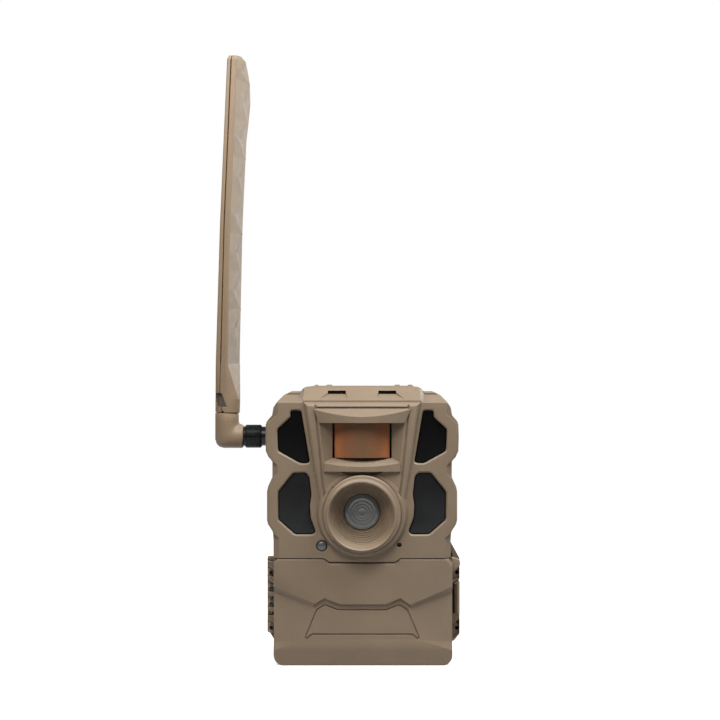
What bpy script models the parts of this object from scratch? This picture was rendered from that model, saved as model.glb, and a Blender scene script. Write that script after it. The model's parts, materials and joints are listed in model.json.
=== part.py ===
"""Trail camera with a hinged battery door and a paddle antenna on a screwed elbow.

Metres, +Z up. The lens looks along -Y, the antenna is on the -X side, and the
origin is the middle of the base. The housing is a deep rear shell, a front
bezel above and a door below; the electronics, the battery tray and its cells
are inside.
"""
import math

import bmesh
import bpy
from mathutils import Euler, Matrix, Vector

# ---------------------------------------------------------------- dimensions
GAP = 0.0003              # between pieces that touch
WALL = 0.0020             # moulded walls
FACE_Y = -0.0340          # front plane of the bezel and of the door
PLATEAU_Y = -0.0365       # front of the raised centre of the bezel
BROW_Y = -0.0412          # foremost point of the brow over the motion lens
SILL_Y = -0.0394          # foremost point of the sill under it
PLATE = 0.0025            # thickness of the bezel's and the door's front plates
RIM_Y = -0.0153           # back rims of the bezel and of the door
SHELL_FRONT_Y = -0.0138   # front rim of the rear shell
BACK_Y = 0.0285           # outer face of the rear wall
RIB_Y = 0.0360            # back of the ribs that bite into the tree
TOP_Z = 0.1338            # flat top
RIB_TOP_Z = 0.1353        # top of the tree ribs
PART_Z = 0.0518           # line between bezel and door
TAB_Z = 0.0496            # bottom of the bezel's centre tab
DOOR_LEFT, DOOR_RIGHT = -0.0425, 0.0434
DOOR_TOP_Z = 0.0515
CORNER = 0.0050           # bottom corners of the housing

LENS = (0.0, 0.0734)      # centre of the lens ring, X and Z
RING_R = 0.0186
BOSS_R = 0.0210
FUNNEL_MOUTH_R = 0.0156
FUNNEL_THROAT_R = 0.0089
FUNNEL_STEPS = 7
RING_FRONT = 0.0405       # distance of the ring's lip in front of the origin
THROAT = 0.0272           # distance of the funnel's throat
PIR_HALF, PIR_LOW, PIR_HIGH = 0.0142, 0.0998, 0.1169
LIGHT = (-0.0193, 0.0577)
MIC = (0.0178, 0.0582)

HINGE_X, HINGE_Y = -0.0436, -0.0140
KNUCKLE_R, HINGE_PIN_R = 0.0020, 0.0008
KNUCKLE_ENDS = (0.0127, 0.0186, 0.0261, 0.0299, 0.0337, 0.0375, 0.0412, 0.0450, 0.0488, 0.0520)
PIN_CLEARANCE = 0.0001
SWING_CLEARANCE = 0.0004
LATCH_X, LATCH_Y = 0.0457, -0.0120
LEVER_LOW, LEVER_HIGH = 0.0241, 0.0398
EAR_LOW, EAR_HIGH = 0.0115, 0.0530

ANTENNA_X, ANTENNA_Y, ANTENNA_Z = -0.0676, 0.0, 0.1089   # corner of the elbow
ARM_R = 0.0056
COLLAR_Z = 0.1201         # seam between elbow and blade
BLADE_LENGTH = 0.1786
BLADE_LEAN = math.radians(1.9)
BLADE_YAW = math.radians(16.5)
BLADE_FOOT_WIDTH, BLADE_WIDEST, BLADE_TIP_WIDTH = 0.0150, 0.0246, 0.0140
BLADE_WIDEST_UP = 0.1610  # height of the widest place above the seam
BLADE_FOOT_THICK, BLADE_TIP_THICK = 0.0074, 0.0048
SEAM_SHARE = 0.43         # of the blade's thickness, left of the seam
NUT_INNER_X, NUT_OUTER_X, NUT_R = -0.0489, -0.0582, 0.0057
KNURLS = 20

CELL_R, CELL_LENGTH, CELL_PITCH = 0.0070, 0.0505, 0.0147
CELL_COLUMNS, CELL_ROWS = 4, 3
TRAY_LEFT, TRAY_LOW = -0.0396, 0.0022
TRAY_FRONT_Y, TRAY_BACK_Y = -0.0295, 0.0237
PANEL_LEFT, PANEL_RIGHT = 0.0216, 0.0399
PANEL_LOW, PANEL_HIGH = 0.0030, 0.0465
PANEL_FRONT_Y, PANEL_BACK_Y = -0.0250, -0.0020
CONTROL_X = 0.0345        # column of the buttons and the switch
BUTTON_ROWS = {"menu_button_up": 0.0320, "menu_button_ok": 0.0260, "menu_button_down": 0.0200}
TRIPOD = (0.0, 0.0280)    # X and Z of the threaded insert in the back
DC_PORT = (0.0310, 0.0080)
STRAP_LOW, STRAP_WAY = 0.0548, 0.0274     # ways in the loops, for a 25 mm strap

COLUMNS_X = (-0.0365, 0.0365)      # screw columns, left and right
COLUMNS_Z = (0.0590, 0.1190)

BODY_TAN = (0.235, 0.174, 0.122)
ANTENNA_TAN = (0.300, 0.215, 0.140)
BLACK = (0.012, 0.012, 0.013)
WINDOW_BLACK = (0.010, 0.010, 0.012)
AMBER = (0.200, 0.075, 0.030)
LENS_GREY = (0.090, 0.100, 0.100)
BOARD_GREEN = (0.015, 0.090, 0.040)
METAL = (0.560, 0.560, 0.580)
BRASS = (0.600, 0.420, 0.160)
RUBBER = (0.020, 0.020, 0.020)
CELL_WRAP = (0.060, 0.065, 0.075)

PARTS = None              # collection of the nodes
TOOLS = None              # collection of the cutters


# ------------------------------------------------------------------- helpers
def clear_scene():
    for old in list(bpy.data.objects):
        bpy.data.objects.remove(old)


def new_collection(name):
    collection = bpy.data.collections.new(name)
    bpy.context.scene.collection.children.link(collection)
    return collection


def finish(obj, colour, roughness=0.5, metallic=0.0):
    """Give a node its own material."""
    material = bpy.data.materials.new(obj.name)
    material.use_nodes = True
    shader = material.node_tree.nodes["Principled BSDF"]
    shader.inputs["Base Color"].default_value = (*colour, 1.0)
    shader.inputs["Roughness"].default_value = roughness
    shader.inputs["Metallic"].default_value = metallic
    obj.data.materials.clear()
    obj.data.materials.append(material)
    return obj


def add_object(name, mesh, collection=None):
    obj = bpy.data.objects.new(name, mesh)
    (collection or PARTS).objects.link(obj)
    return obj


def as_tool(obj):
    """Turn an object into a hidden cutter or an addition to another object."""
    for collection in list(obj.users_collection):
        collection.objects.unlink(obj)
    TOOLS.objects.link(obj)
    obj.hide_render = True
    obj.display_type = "WIRE"
    return obj


def combine(target, tool, operation):
    modifier = target.modifiers.new(tool.name, "BOOLEAN")
    modifier.operation = operation
    modifier.object = as_tool(tool)
    modifier.solver = "EXACT"
    return target


def cut(target, *tools):
    for tool in tools:
        combine(target, tool, "DIFFERENCE")
    return target


def join(target, *tools):
    for tool in tools:
        combine(target, tool, "UNION")
    return target


PLANES = {
    "XZ": Euler((math.pi / 2, 0, 0)).to_matrix().to_4x4(),
    "XY": Matrix.Identity(4),
    "YZ": Euler((math.pi / 2, 0, math.pi / 2)).to_matrix().to_4x4(),
}
NORMALS = {"XZ": Vector((0, 1, 0)), "XY": Vector((0, 0, 1)), "YZ": Vector((1, 0, 0))}


def slab(name, outline, low, high, plane="XZ"):
    """Extrude a flat outline across its plane, from low to high."""
    curve = bpy.data.curves.new(name, "CURVE")
    curve.dimensions = "2D"
    curve.fill_mode = "BOTH"
    curve.extrude = (high - low) / 2
    spline = curve.splines.new("POLY")
    spline.points.add(len(outline) - 1)
    for point, (across, up) in zip(spline.points, outline):
        point.co = (across, up, 0, 1)
    spline.use_cyclic_u = True
    guide = add_object(name + "_outline", curve)
    guide.matrix_world = Matrix.Translation(NORMALS[plane] * (low + high) / 2) @ PLANES[plane]
    graph = bpy.context.evaluated_depsgraph_get()
    mesh = bpy.data.meshes.new_from_object(guide.evaluated_get(graph))
    work = bmesh.new()
    work.from_mesh(mesh)
    bmesh.ops.remove_doubles(work, verts=work.verts, dist=1e-6)
    bmesh.ops.dissolve_limit(work, angle_limit=0.001, verts=work.verts, edges=work.edges)
    bmesh.ops.recalc_face_normals(work, faces=work.faces)
    work.to_mesh(mesh)
    work.free()
    mesh.name = name
    obj = add_object(name, mesh)
    obj.matrix_world = guide.matrix_world.copy()
    bpy.data.objects.remove(guide)
    return obj


def block(name, low, high):
    """A box between two corners."""
    low, high = Vector(low), Vector(high)
    work = bmesh.new()
    bmesh.ops.create_cube(work, size=1.0, matrix=Matrix.Diagonal((*(high - low), 1)))
    mesh = bpy.data.meshes.new(name)
    work.to_mesh(mesh)
    work.free()
    obj = add_object(name, mesh)
    obj.location = (low + high) / 2
    return obj


AXES = {
    "front": Euler((math.pi / 2, 0, 0)),      # local Z points along -Y
    "left": Euler((0, -math.pi / 2, 0)),      # local Z points along -X
    "up": Euler((0, 0, 0)),
}


def rod(name, radius, low, high, centre=(0, 0), axis="up", sides=20, far_radius=None):
    """A round bar from low to high along an axis; centre is its place across it."""
    work = bmesh.new()
    bmesh.ops.create_cone(work, cap_ends=True, segments=sides, radius1=radius,
                          radius2=far_radius or radius, depth=high - low)
    mesh = bpy.data.meshes.new(name)
    work.to_mesh(mesh)
    work.free()
    for polygon in mesh.polygons:
        polygon.use_smooth = len(polygon.vertices) == 4
    obj = add_object(name, mesh)
    obj.rotation_euler = AXES[axis]
    middle = (low + high) / 2
    places = {"up": (*centre, middle), "front": (centre[0], -middle, centre[1]),
              "left": (-middle, *centre)}
    obj.location = places[axis]
    return obj


def turned(name, profile, centre=(0, 0), axis="front", steps=32, ring=False):
    """Turn a profile of (radius, height) points; ring closes it off the axis."""
    mesh = bpy.data.meshes.new(name)
    edges = [(i, i + 1) for i in range(len(profile) - 1)]
    if ring:
        edges.append((len(profile) - 1, 0))
    mesh.from_pydata([(radius, 0, height) for radius, height in profile], edges, [])
    obj = add_object(name, mesh)
    screw = obj.modifiers.new("Turn", "SCREW")
    screw.steps = screw.render_steps = steps
    screw.use_merge_vertices = True
    screw.merge_threshold = 1e-5
    obj.rotation_euler = AXES[axis]
    places = {"up": (*centre, 0), "front": (centre[0], 0, centre[1]), "left": (0, *centre)}
    obj.location = places[axis]
    return obj


def soften(obj, width, front=True, back=False, segments=2):
    """Round the rims of a slab: local +Z is the front of an XZ slab."""
    work = bmesh.new()
    work.from_mesh(obj.data)
    far = max(vert.co.z for vert in work.verts)
    wanted = [side for side, on in ((far, front), (-far, back)) if on]
    edges = [edge for edge in work.edges for side in wanted
             if all(abs(vert.co.z - side) < 1e-6 for vert in edge.verts)]
    bmesh.ops.bevel(work, geom=edges, offset=width, segments=segments, profile=0.5,
                    affect="EDGES", clamp_overlap=True)
    work.to_mesh(obj.data)
    work.free()
    return obj


def frustum(name, near, near_y, far, far_y):
    """Loft between two four-cornered outlines in XZ, near and far along Y."""
    work = bmesh.new()
    front = [work.verts.new((x, near_y, z)) for x, z in near]
    rear = [work.verts.new((x, far_y, z)) for x, z in far]
    work.faces.new(front)
    work.faces.new(rear)
    for i in range(len(front)):
        j = (i + 1) % len(front)
        work.faces.new((front[i], front[j], rear[j], rear[i]))
    bmesh.ops.recalc_face_normals(work, faces=work.faces)
    mesh = bpy.data.meshes.new(name)
    work.to_mesh(mesh)
    work.free()
    return add_object(name, mesh)


def arc(centre, radius, start, end, count):
    """Points of an arc, from start to end in degrees."""
    angles = [math.radians(start + (end - start) * i / (count - 1)) for i in range(count)]
    return [(centre[0] + radius * math.cos(a), centre[1] + radius * math.sin(a)) for a in angles]


def chamfered(left, right, low, high, corner):
    """A rectangle with its four corners cut."""
    return [(left + corner, low), (right - corner, low), (right, low + corner), (right, high - corner),
            (right - corner, high), (left + corner, high), (left, high - corner), (left, low + corner)]


def mirrored(points):
    return [(-across, up) for across, up in reversed(points)]


def both_sides(half):
    """A closed outline from its right half, listed from bottom to top."""
    return half + mirrored(half)


def inset(outline, distance):
    """Move every side of a closed outline inwards; a negative distance moves it out."""
    points = [Vector(point) for point in outline]
    area = sum(a.x * b.y - b.x * a.y for a, b in zip(points, points[1:] + points[:1]))
    turn = 1 if area > 0 else -1
    moved = []
    for i, here in enumerate(points):
        before = (here - points[i - 1]).normalized()
        after = (points[(i + 1) % len(points)] - here).normalized()
        first = Vector((-before.y, before.x)) * turn
        second = Vector((-after.y, after.x)) * turn
        moved.append(tuple(here + (first + second) * distance / (1 + first.dot(second))))
    return moved


# ------------------------------------------------------------------ outlines
CROWN = [(0.0432, 0.1212), (0.0427, 0.1241), (0.0408, 0.1270), (0.0384, 0.1298), (0.0360, 0.1310),
         (0.0307, 0.1310), (0.0288, 0.1332), (0.0240, TOP_Z)]
BEZEL_SIDE = [(0.0427, TAB_Z), (0.0427, 0.0600), (0.0430, 0.0646), (0.0456, 0.0684), (0.0456, 0.0847),
              (0.0432, 0.0910), (0.0432, 0.0985), (0.0470, 0.1010), (0.0470, 0.1183), (0.0434, 0.1205)]
SHELL_SIDE = arc((0.0427 - CORNER, CORNER), CORNER, -90, 0, 5) + [(0.0430, 0.0646)]

UPPER_WINDOW = [(-0.0340, 0.1224), (-0.0296, 0.1224), (-0.0255, 0.0983), (-0.0265, 0.0978),
                (-0.0298, 0.0978), (-0.0400, 0.1035), (-0.0404, 0.1136), (-0.0341, 0.1193)]
LOWER_WINDOW = [(-0.0328, 0.0925), (-0.0272, 0.0925), (-0.0257, 0.0907), (-0.0247, 0.0823),
                (-0.0255, 0.0772), (-0.0251, 0.0712), (-0.0227, 0.0648), (-0.0237, 0.0636),
                (-0.0321, 0.0636), (-0.0399, 0.0705), (-0.0400, 0.0836)]
WINDOWS = {"upper_left": UPPER_WINDOW, "upper_right": mirrored(UPPER_WINDOW),
           "lower_left": LOWER_WINDOW, "lower_right": mirrored(LOWER_WINDOW)}

PLATEAU = both_sides([(0.0205, 0.0800), (0.0240, 0.0991), (0.0281, 0.1267)])

DOOR_OUTLINE = (arc((DOOR_LEFT + CORNER, CORNER), CORNER, 180, 270, 5)
                + arc((DOOR_RIGHT - CORNER, CORNER), CORNER, -90, 0, 5)
                + [(DOOR_RIGHT, 0.0502), (0.0421, DOOR_TOP_Z), (0.0186, DOOR_TOP_Z), (0.0156, TAB_Z - GAP),
                   (-0.0156, TAB_Z - GAP), (-0.0186, DOOR_TOP_Z), (-0.0412, DOOR_TOP_Z), (DOOR_LEFT, 0.0502)])
DOOR_BODY = (arc((DOOR_LEFT + CORNER, CORNER), CORNER, 180, 270, 5)
             + arc((DOOR_RIGHT - CORNER, CORNER), CORNER, -90, 0, 5)
             + [(DOOR_RIGHT, TAB_Z - GAP), (DOOR_LEFT, TAB_Z - GAP)])
BADGE = both_sides([(0.0241, 0.0156), (0.0268, 0.0136), (0.0277, 0.0146), (0.0220, 0.0272),
                    (0.0180, 0.0297), (0.0114, 0.0272)])


def bulge(half_width, foremost, side, count=11):
    """Front line of a crescent in plan: a parabola from side to foremost and back."""
    places = [half_width * (2 * i / (count - 1) - 1) for i in range(count)]
    return [(x, foremost + (side - foremost) * (x / half_width) ** 2) for x in places]


# --------------------------------------------------------------- rear shell
def make_rear_shell():
    shell = slab("rear_shell", both_sides(SHELL_SIDE + CROWN), SHELL_FRONT_Y, BACK_Y)
    soften(shell, 0.0030, front=False, back=True)
    inner_y = BACK_Y - PLATE
    upper_bay = both_sides([(0.0408, PART_Z + 0.0008), (0.0408, 0.1200), (0.0360, 0.1275), (0.0270, 0.1310)])
    lower_bay = inset(both_sides(arc((0.0427 - CORNER, CORNER), CORNER, -90, 0, 4)
                                 + [(0.0427, TAB_Z + 0.0014)]), WALL)
    cut(shell,
        slab("upper_bay", upper_bay, SHELL_FRONT_Y - 0.001, inner_y),
        slab("lower_bay", lower_bay, SHELL_FRONT_Y - 0.001, inner_y))
    for x in COLUMNS_X:
        for z in COLUMNS_Z:
            join(shell, rod("screw_column", 0.0034, -inner_y - 0.001, -0.0060, (x, z), "front", 16))
    for x in (-0.0220, -0.0158, 0.0173, 0.0234):
        join(shell, block("tree_rib", (x - 0.0017, 0.0200, 0.0880), (x + 0.0017, RIB_Y, RIB_TOP_Z)))
        join(shell, block("tree_rib_low", (x - 0.0017, BACK_Y - 0.001, 0.0080),
                          (x + 0.0017, RIB_Y, 0.0480)))
    for side in (-1, 1):
        near, far = sorted((side * 0.0275, side * 0.0385))
        join(shell, block("strap_loop", (near, BACK_Y - 0.001, 0.0510), (far, RIB_Y, 0.0860)))
    join(shell, rod("tripod_boss", 0.0090, -RIB_Y, -BACK_Y + 0.001, TRIPOD, "front", 24))
    join(shell, rod("jack_boss", 0.0085, 0.0420, 0.0464, (ANTENNA_Y, ANTENNA_Z), "left", 24))
    cut(shell, block("strap_way", (-0.0500, BACK_Y + 0.0002, STRAP_LOW),
                     (0.0500, BACK_Y + 0.0049, STRAP_LOW + STRAP_WAY)))
    for x in COLUMNS_X:
        for z in COLUMNS_Z:
            cut(shell, rod("screw_way", 0.0016, -0.0300, -0.0110, (x, z), "front", 12),
                rod("screw_seat", 0.0031, -0.0300, -0.0266, (x, z), "front", 16))
    cut(shell,
        rod("insert_way", 0.0046, -RIB_Y - 0.001, -0.0289, TRIPOD, "front"),
        rod("jack_way", 0.0034, 0.0380, 0.0500, (ANTENNA_Y, ANTENNA_Z), "left"),
        rod("dc_way", 0.0040, -0.0010, 0.0040, DC_PORT))
    add_ear(shell)
    add_knuckles(shell, first=0, web_low=HINGE_Y, web_high=HINGE_Y + 0.0070)
    return finish(shell, BODY_TAN, 0.55)


def add_knuckles(target, first, web_low, web_high):
    """Every second hinge knuckle, on a web, with the pin's bore through all of them.

    The barrels of the other leaf get swinging room.
    """
    ends = list(zip(KNUCKLE_ENDS, KNUCKLE_ENDS[1:]))
    for i, (low, high) in enumerate(ends):
        if i % 2 == first:
            join(target,
                 rod("knuckle", KNUCKLE_R, low + GAP, high - GAP, (HINGE_X, HINGE_Y), sides=16),
                 block("knuckle_web", (HINGE_X - 0.0015, web_low, low + GAP),
                       (HINGE_X + 0.0021, web_high, high - GAP)))
        else:
            cut(target, rod("knuckle_room", KNUCKLE_R + SWING_CLEARANCE, low, high,
                            (HINGE_X, HINGE_Y), sides=16))
    cut(target, rod("hinge_bore", HINGE_PIN_R + PIN_CLEARANCE, KNUCKLE_ENDS[0] - 0.001,
                    KNUCKLE_ENDS[-1] + 0.001, (HINGE_X, HINGE_Y), sides=12))


def top_knuckle_room():
    """Room for the topmost knuckle, which reaches past the parting line."""
    return rod("top_knuckle_room", KNUCKLE_R + SWING_CLEARANCE, KNUCKLE_ENDS[-2], KNUCKLE_ENDS[-1] + GAP,
               (HINGE_X, HINGE_Y), sides=16)


def add_ear(shell):
    """The latch's ear beside the door: two lugs that hold the lever's pin."""
    back_y, front_y = 0.0020, -0.0225
    upper = [(0.0420, LEVER_HIGH + GAP), (0.0475, LEVER_HIGH + GAP), (0.0475, EAR_HIGH),
             (0.0462, 0.0552), (0.0437, 0.0600), (0.0420, 0.0600)]
    lower = [(0.0420, 0.0165), (0.0437, 0.0165), (0.0450, EAR_LOW), (0.0462, EAR_LOW),
             (0.0475, 0.0140), (0.0475, LEVER_LOW - GAP), (0.0420, LEVER_LOW - GAP)]
    join(shell, soften(slab("ear_upper", upper, front_y, back_y), 0.0005, segments=1),
         soften(slab("ear_lower", lower, front_y, back_y), 0.0005, segments=1))
    door_room = block("door_room", (0.0400, front_y - 0.001, EAR_LOW - 0.002),
                      (DOOR_RIGHT + 0.0004, SHELL_FRONT_Y, 0.0620))
    pin_bore = rod("latch_bore", HINGE_PIN_R + PIN_CLEARANCE, 0.0160, 0.0470, (LATCH_X, LATCH_Y), sides=12)
    cut(shell, door_room, pin_bore)
    for pocket in ([(0.0449, 0.0433), (0.0467, 0.0433), (0.0467, 0.0478)],
                   [(0.0447, 0.0206), (0.0467, 0.0206), (0.0467, 0.0164)]):
        cut(shell, slab("ear_pocket", pocket, front_y - 0.001, front_y + 0.0060))


# --------------------------------------------------------------- front bezel
def make_front_bezel():
    bezel = slab("front_bezel", both_sides(BEZEL_SIDE + CROWN), FACE_Y, RIM_Y)
    soften(bezel, 0.0012)
    slope = [(FACE_Y - 0.010, 0.1245), (FACE_Y - 0.010, 0.1500), (RIM_Y + 0.002, 0.1500),
             (RIM_Y + 0.002, 0.1362), (FACE_Y, 0.1277)]
    cut(bezel, slab("top_slope", slope, -0.0600, 0.0600, "YZ"))
    plateau = soften(slab("plateau", PLATEAU, PLATEAU_Y, FACE_Y + 0.001), 0.0024, segments=1)
    bar = both_sides([(0.0255, 0.1246), (0.0275, 0.1272)])
    top_bar = soften(slab("top_bar", bar, PLATEAU_Y - 0.0010, FACE_Y + 0.0010), 0.0008)
    boss = rod("lens_boss", BOSS_R, -FACE_Y - 0.001, -PLATEAU_Y + 0.0004, LENS, "front", 48)
    join(bezel, plateau, top_bar, boss, make_brow(), make_sill())
    add_door_room(bezel)
    half = 0.0415
    cavity = both_sides([(half - 0.0010, PART_Z + 0.0006), (half, 0.0640), (half, 0.1215), (0.0385, 0.1260)])
    cut(bezel, slab("bezel_cavity", cavity, FACE_Y + PLATE, RIM_Y + 0.001))
    for side, outline in WINDOWS.items():
        cut(bezel, slab("window_way_" + side, inset(outline, -0.0004), FACE_Y - 0.004, FACE_Y + 0.004))
    pocket_y = PLATEAU_Y - 0.0006
    near = [(-0.0178, 0.0990), (0.0178, 0.0990), (0.0202, PIR_HIGH), (-0.0202, PIR_HIGH)]
    far = [(-PIR_HALF, PIR_LOW), (PIR_HALF, PIR_LOW), (PIR_HALF, PIR_HIGH), (-PIR_HALF, PIR_HIGH)]
    cut(bezel,
        frustum("motion_pocket", near, pocket_y, far, FACE_Y + 0.0006),
        block("motion_way", (-PIR_HALF, -0.0380, PIR_LOW), (PIR_HALF, -0.0300, PIR_HIGH)),
        rod("ring_way", RING_R + GAP, 0.0290, 0.0450, LENS, "front", 48),
        top_knuckle_room(),
        rod("light_way", 0.0027, 0.0300, 0.0360, LIGHT, "front", 16),
        rod("mic_way", 0.0009, 0.0300, 0.0360, MIC, "front", 12))
    for side in (-1, 1):
        near_x, far_x = sorted((side * 0.0079, side * 0.0166))
        cut(bezel, block("top_slot", (near_x, -0.0300, 0.1300), (far_x, -0.0240, 0.1345)))
    return finish(bezel, BODY_TAN, 0.5)


def make_brow():
    """Crescent hood over the motion lens, its top falling towards its front."""
    side_y = -0.0370
    plan = bulge(0.0231, BROW_Y, side_y) + [(0.0231, FACE_Y), (-0.0231, FACE_Y)]
    brow = slab("brow", plan, PIR_HIGH, 0.1235, "XY")
    top = [(side_y, 0.1235), (side_y, 0.1300), (BROW_Y - 0.004, 0.1300), (BROW_Y - 0.004, 0.1173),
           (BROW_Y, 0.1202)]
    return cut(brow, slab("brow_slope", top, -0.0300, 0.0300, "YZ"))


def make_sill():
    """Crescent ledge under the motion lens."""
    side_y = -0.0374
    plan = bulge(0.0180, SILL_Y, side_y) + [(0.0180, FACE_Y), (-0.0180, FACE_Y)]
    sill = slab("sill", plan, 0.0936, 0.0978, "XY")
    top = [(side_y, 0.0978), (side_y, 0.1050), (SILL_Y - 0.004, 0.1050), (SILL_Y - 0.004, 0.0930),
           (SILL_Y, 0.0962)]
    return cut(sill, slab("sill_slope", top, -0.0300, 0.0300, "YZ"))


def add_door_room(bezel):
    """Below the parting line only the centre tab reaches the front; the door's lip covers the rest."""
    lip_back_y = FACE_Y + PLATE + GAP
    for side in (-1, 1):
        room = [(side * 0.0183, PART_Z), (side * 0.0600, PART_Z), (side * 0.0600, TAB_Z - 0.002),
                (side * 0.0153, TAB_Z - 0.002), (side * 0.0153, TAB_Z)]
        cut(bezel, slab("door_lip_room", room, FACE_Y - 0.002, lip_back_y))


def make_window(side, outline):
    """Dark infrared filter with a flange behind the bezel's plate."""
    front_y = FACE_Y + 0.0008
    flange_y = FACE_Y + PLATE + GAP
    window = slab("ir_window_" + side, outline, front_y, flange_y + 0.0010)
    soften(window, 0.0004, segments=1)
    join(window, slab("flange", inset(outline, -0.0008), flange_y, flange_y + 0.0010))
    return finish(window, WINDOW_BLACK, 0.15)


def make_motion_lens():
    """Curved Fresnel sheet, round in plan."""
    foremost, side_y, thickness, half = -0.0376, -0.0334, 0.0012, 0.0134
    front = bulge(half, foremost, side_y, 13)
    back = [(x, y + thickness) for x, y in reversed(front)]
    lens = slab("motion_lens", front + back, PIR_LOW + 0.0004, PIR_HIGH - 0.0004, "XY")
    return finish(lens, AMBER, 0.35)


def make_lens_group():
    mouth, throat = FUNNEL_MOUTH_R, FUNNEL_THROAT_R
    lip = [(RING_R, 0.0300), (0.0090, 0.0255), (throat, 0.0255), (throat, THROAT)]
    steps = []
    for i in range(FUNNEL_STEPS):
        share = i / FUNNEL_STEPS
        radius = throat + (mouth - throat) * share + 0.0004
        height = THROAT + (RING_FRONT - 0.0010 - THROAT) * share
        steps += [(radius, height), (radius + 0.0003, height + 0.0014)]
    crown = arc((0.0171, RING_FRONT - 0.0015), 0.0015, 180, 0, 7)
    profile = lip + steps + crown
    ring = turned("lens_ring", profile, LENS, steps=48, ring=True)
    finish(ring, BODY_TAN, 0.5)
    window = turned("lens_window", [(0, 0.0273), (0.0050, 0.0271), (throat - GAP, 0.0266),
                                    (throat - GAP, 0.0258), (0, 0.0258)], LENS, steps=40)
    finish(window, LENS_GREY, 0.1)
    barrel = turned("lens_barrel", [(0, 0.0246), (0.0035, 0.0243), (0.0040, 0.0252), (0.0065, 0.0252),
                                    (0.0065, 0.0228), (0.0075, 0.0228), (0.0075, 0.0202), (0, 0.0202)],
                    LENS, steps=24)
    finish(barrel, BLACK, 0.4)
    sensor = block("image_sensor", (-0.0060, -0.0198, LENS[1] - 0.0055), (0.0060, -0.0184, LENS[1] + 0.0055))
    finish(sensor, BLACK, 0.3)


def make_small_front_pieces():
    light = turned("status_light", [(0, 0.0344), (0.0012, 0.0342), (0.0020, 0.0337), (0.00235, 0.0330),
                                    (0.00235, 0.0312), (0, 0.0312)], LIGHT, steps=20)
    finish(light, LENS_GREY, 0.25)
    finish(rod("microphone", 0.0020, 0.0290, 0.0311, MIC, "front", 16), METAL, 0.35, 1.0)
    finish(rod("motion_sensor", 0.0046, 0.0215, 0.0270, (0, 0.1083), "front", 20), METAL, 0.3, 1.0)
    gasket_low, gasket_high = RIM_Y + GAP, SHELL_FRONT_Y - GAP
    outer = both_sides([(0.0423, TAB_Z + 0.0003), (0.0423, 0.1210), (0.0355, 0.1300), (0.0300, 0.1300),
                        (0.0270, 0.1328)])
    inner = both_sides([(0.0411, PART_Z + 0.0004), (0.0411, 0.1200), (0.0350, 0.1272), (0.0265, 0.1290)])
    seal = slab("bezel_seal", outer, gasket_low, gasket_high)
    cut(seal, slab("bezel_seal_inside", inner, gasket_low - 0.001, gasket_high + 0.001), top_knuckle_room())
    finish(seal, RUBBER, 0.8)


# ---------------------------------------------------------------- electronics
def make_electronics():
    board = slab("main_board", both_sides([(0.0300, 0.0560), (0.0300, 0.0650), (0.0380, 0.0660),
                                           (0.0380, 0.1120), (0.0300, 0.1130), (0.0300, 0.1250)]),
                 -0.0181, -0.0165)
    finish(board, BOARD_GREEN, 0.5)
    finish(block("cellular_module", (-0.0160, -0.0162, 0.0780), (0.0160, -0.0134, 0.1080)), METAL, 0.4, 1.0)
    for side, sign in (("left", -1), ("right", 1)):
        outline = [(sign * x, z) for x, z in ((0.0390, 0.0700), (0.0390, 0.1130), (0.0335, 0.1210),
                                              (0.0285, 0.1210), (0.0245, 0.0960), (0.0238, 0.0640),
                                              (0.0320, 0.0640))]
        leds = slab("ir_led_board_" + side, outline, -0.0278, -0.0262)
        places = [(0.0320, 0.1150), (0.0330, 0.1070), (0.0285, 0.1035), (0.0350, 0.0870), (0.0285, 0.0870),
                  (0.0350, 0.0780), (0.0290, 0.0780), (0.0320, 0.0690)]
        for x, z in places:
            join(leds, rod("led", 0.0022, 0.0270, 0.0298, (sign * x, z), "front", 10, 0.0016))
        finish(leds, BOARD_GREEN, 0.5)
    jack = turned("antenna_jack", [(0, 0.0550), (0.0030, 0.0550), (0.0030, 0.0470), (0.0050, 0.0470),
                                   (0.0050, 0.0467), (0.0031, 0.0467), (0.0031, 0.0385), (0, 0.0385)],
                  (ANTENNA_Y, ANTENNA_Z), "left", 20)
    finish(jack, BRASS, 0.3, 1.0)
    insert = turned("tripod_insert", [(0.0027, -0.0291), (0.0043, -0.0291), (0.0043, -0.0357),
                                      (0.0027, -0.0357)], TRIPOD, steps=24, ring=True)
    finish(insert, BRASS, 0.35, 1.0)
    for i, x in enumerate(COLUMNS_X):
        for j, z in enumerate(COLUMNS_Z):
            screw = turned("housing_screw_%d" % (2 * i + j + 1),
                           [(0, -0.0120), (0.0012, -0.0120), (0.0012, -0.0268), (0.0027, -0.0268),
                            (0.0027, -0.0280), (0.0010, -0.0280), (0.0010, -0.0272), (0, -0.0272)],
                           (x, z), steps=16)
            finish(screw, METAL, 0.35, 1.0)


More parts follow.
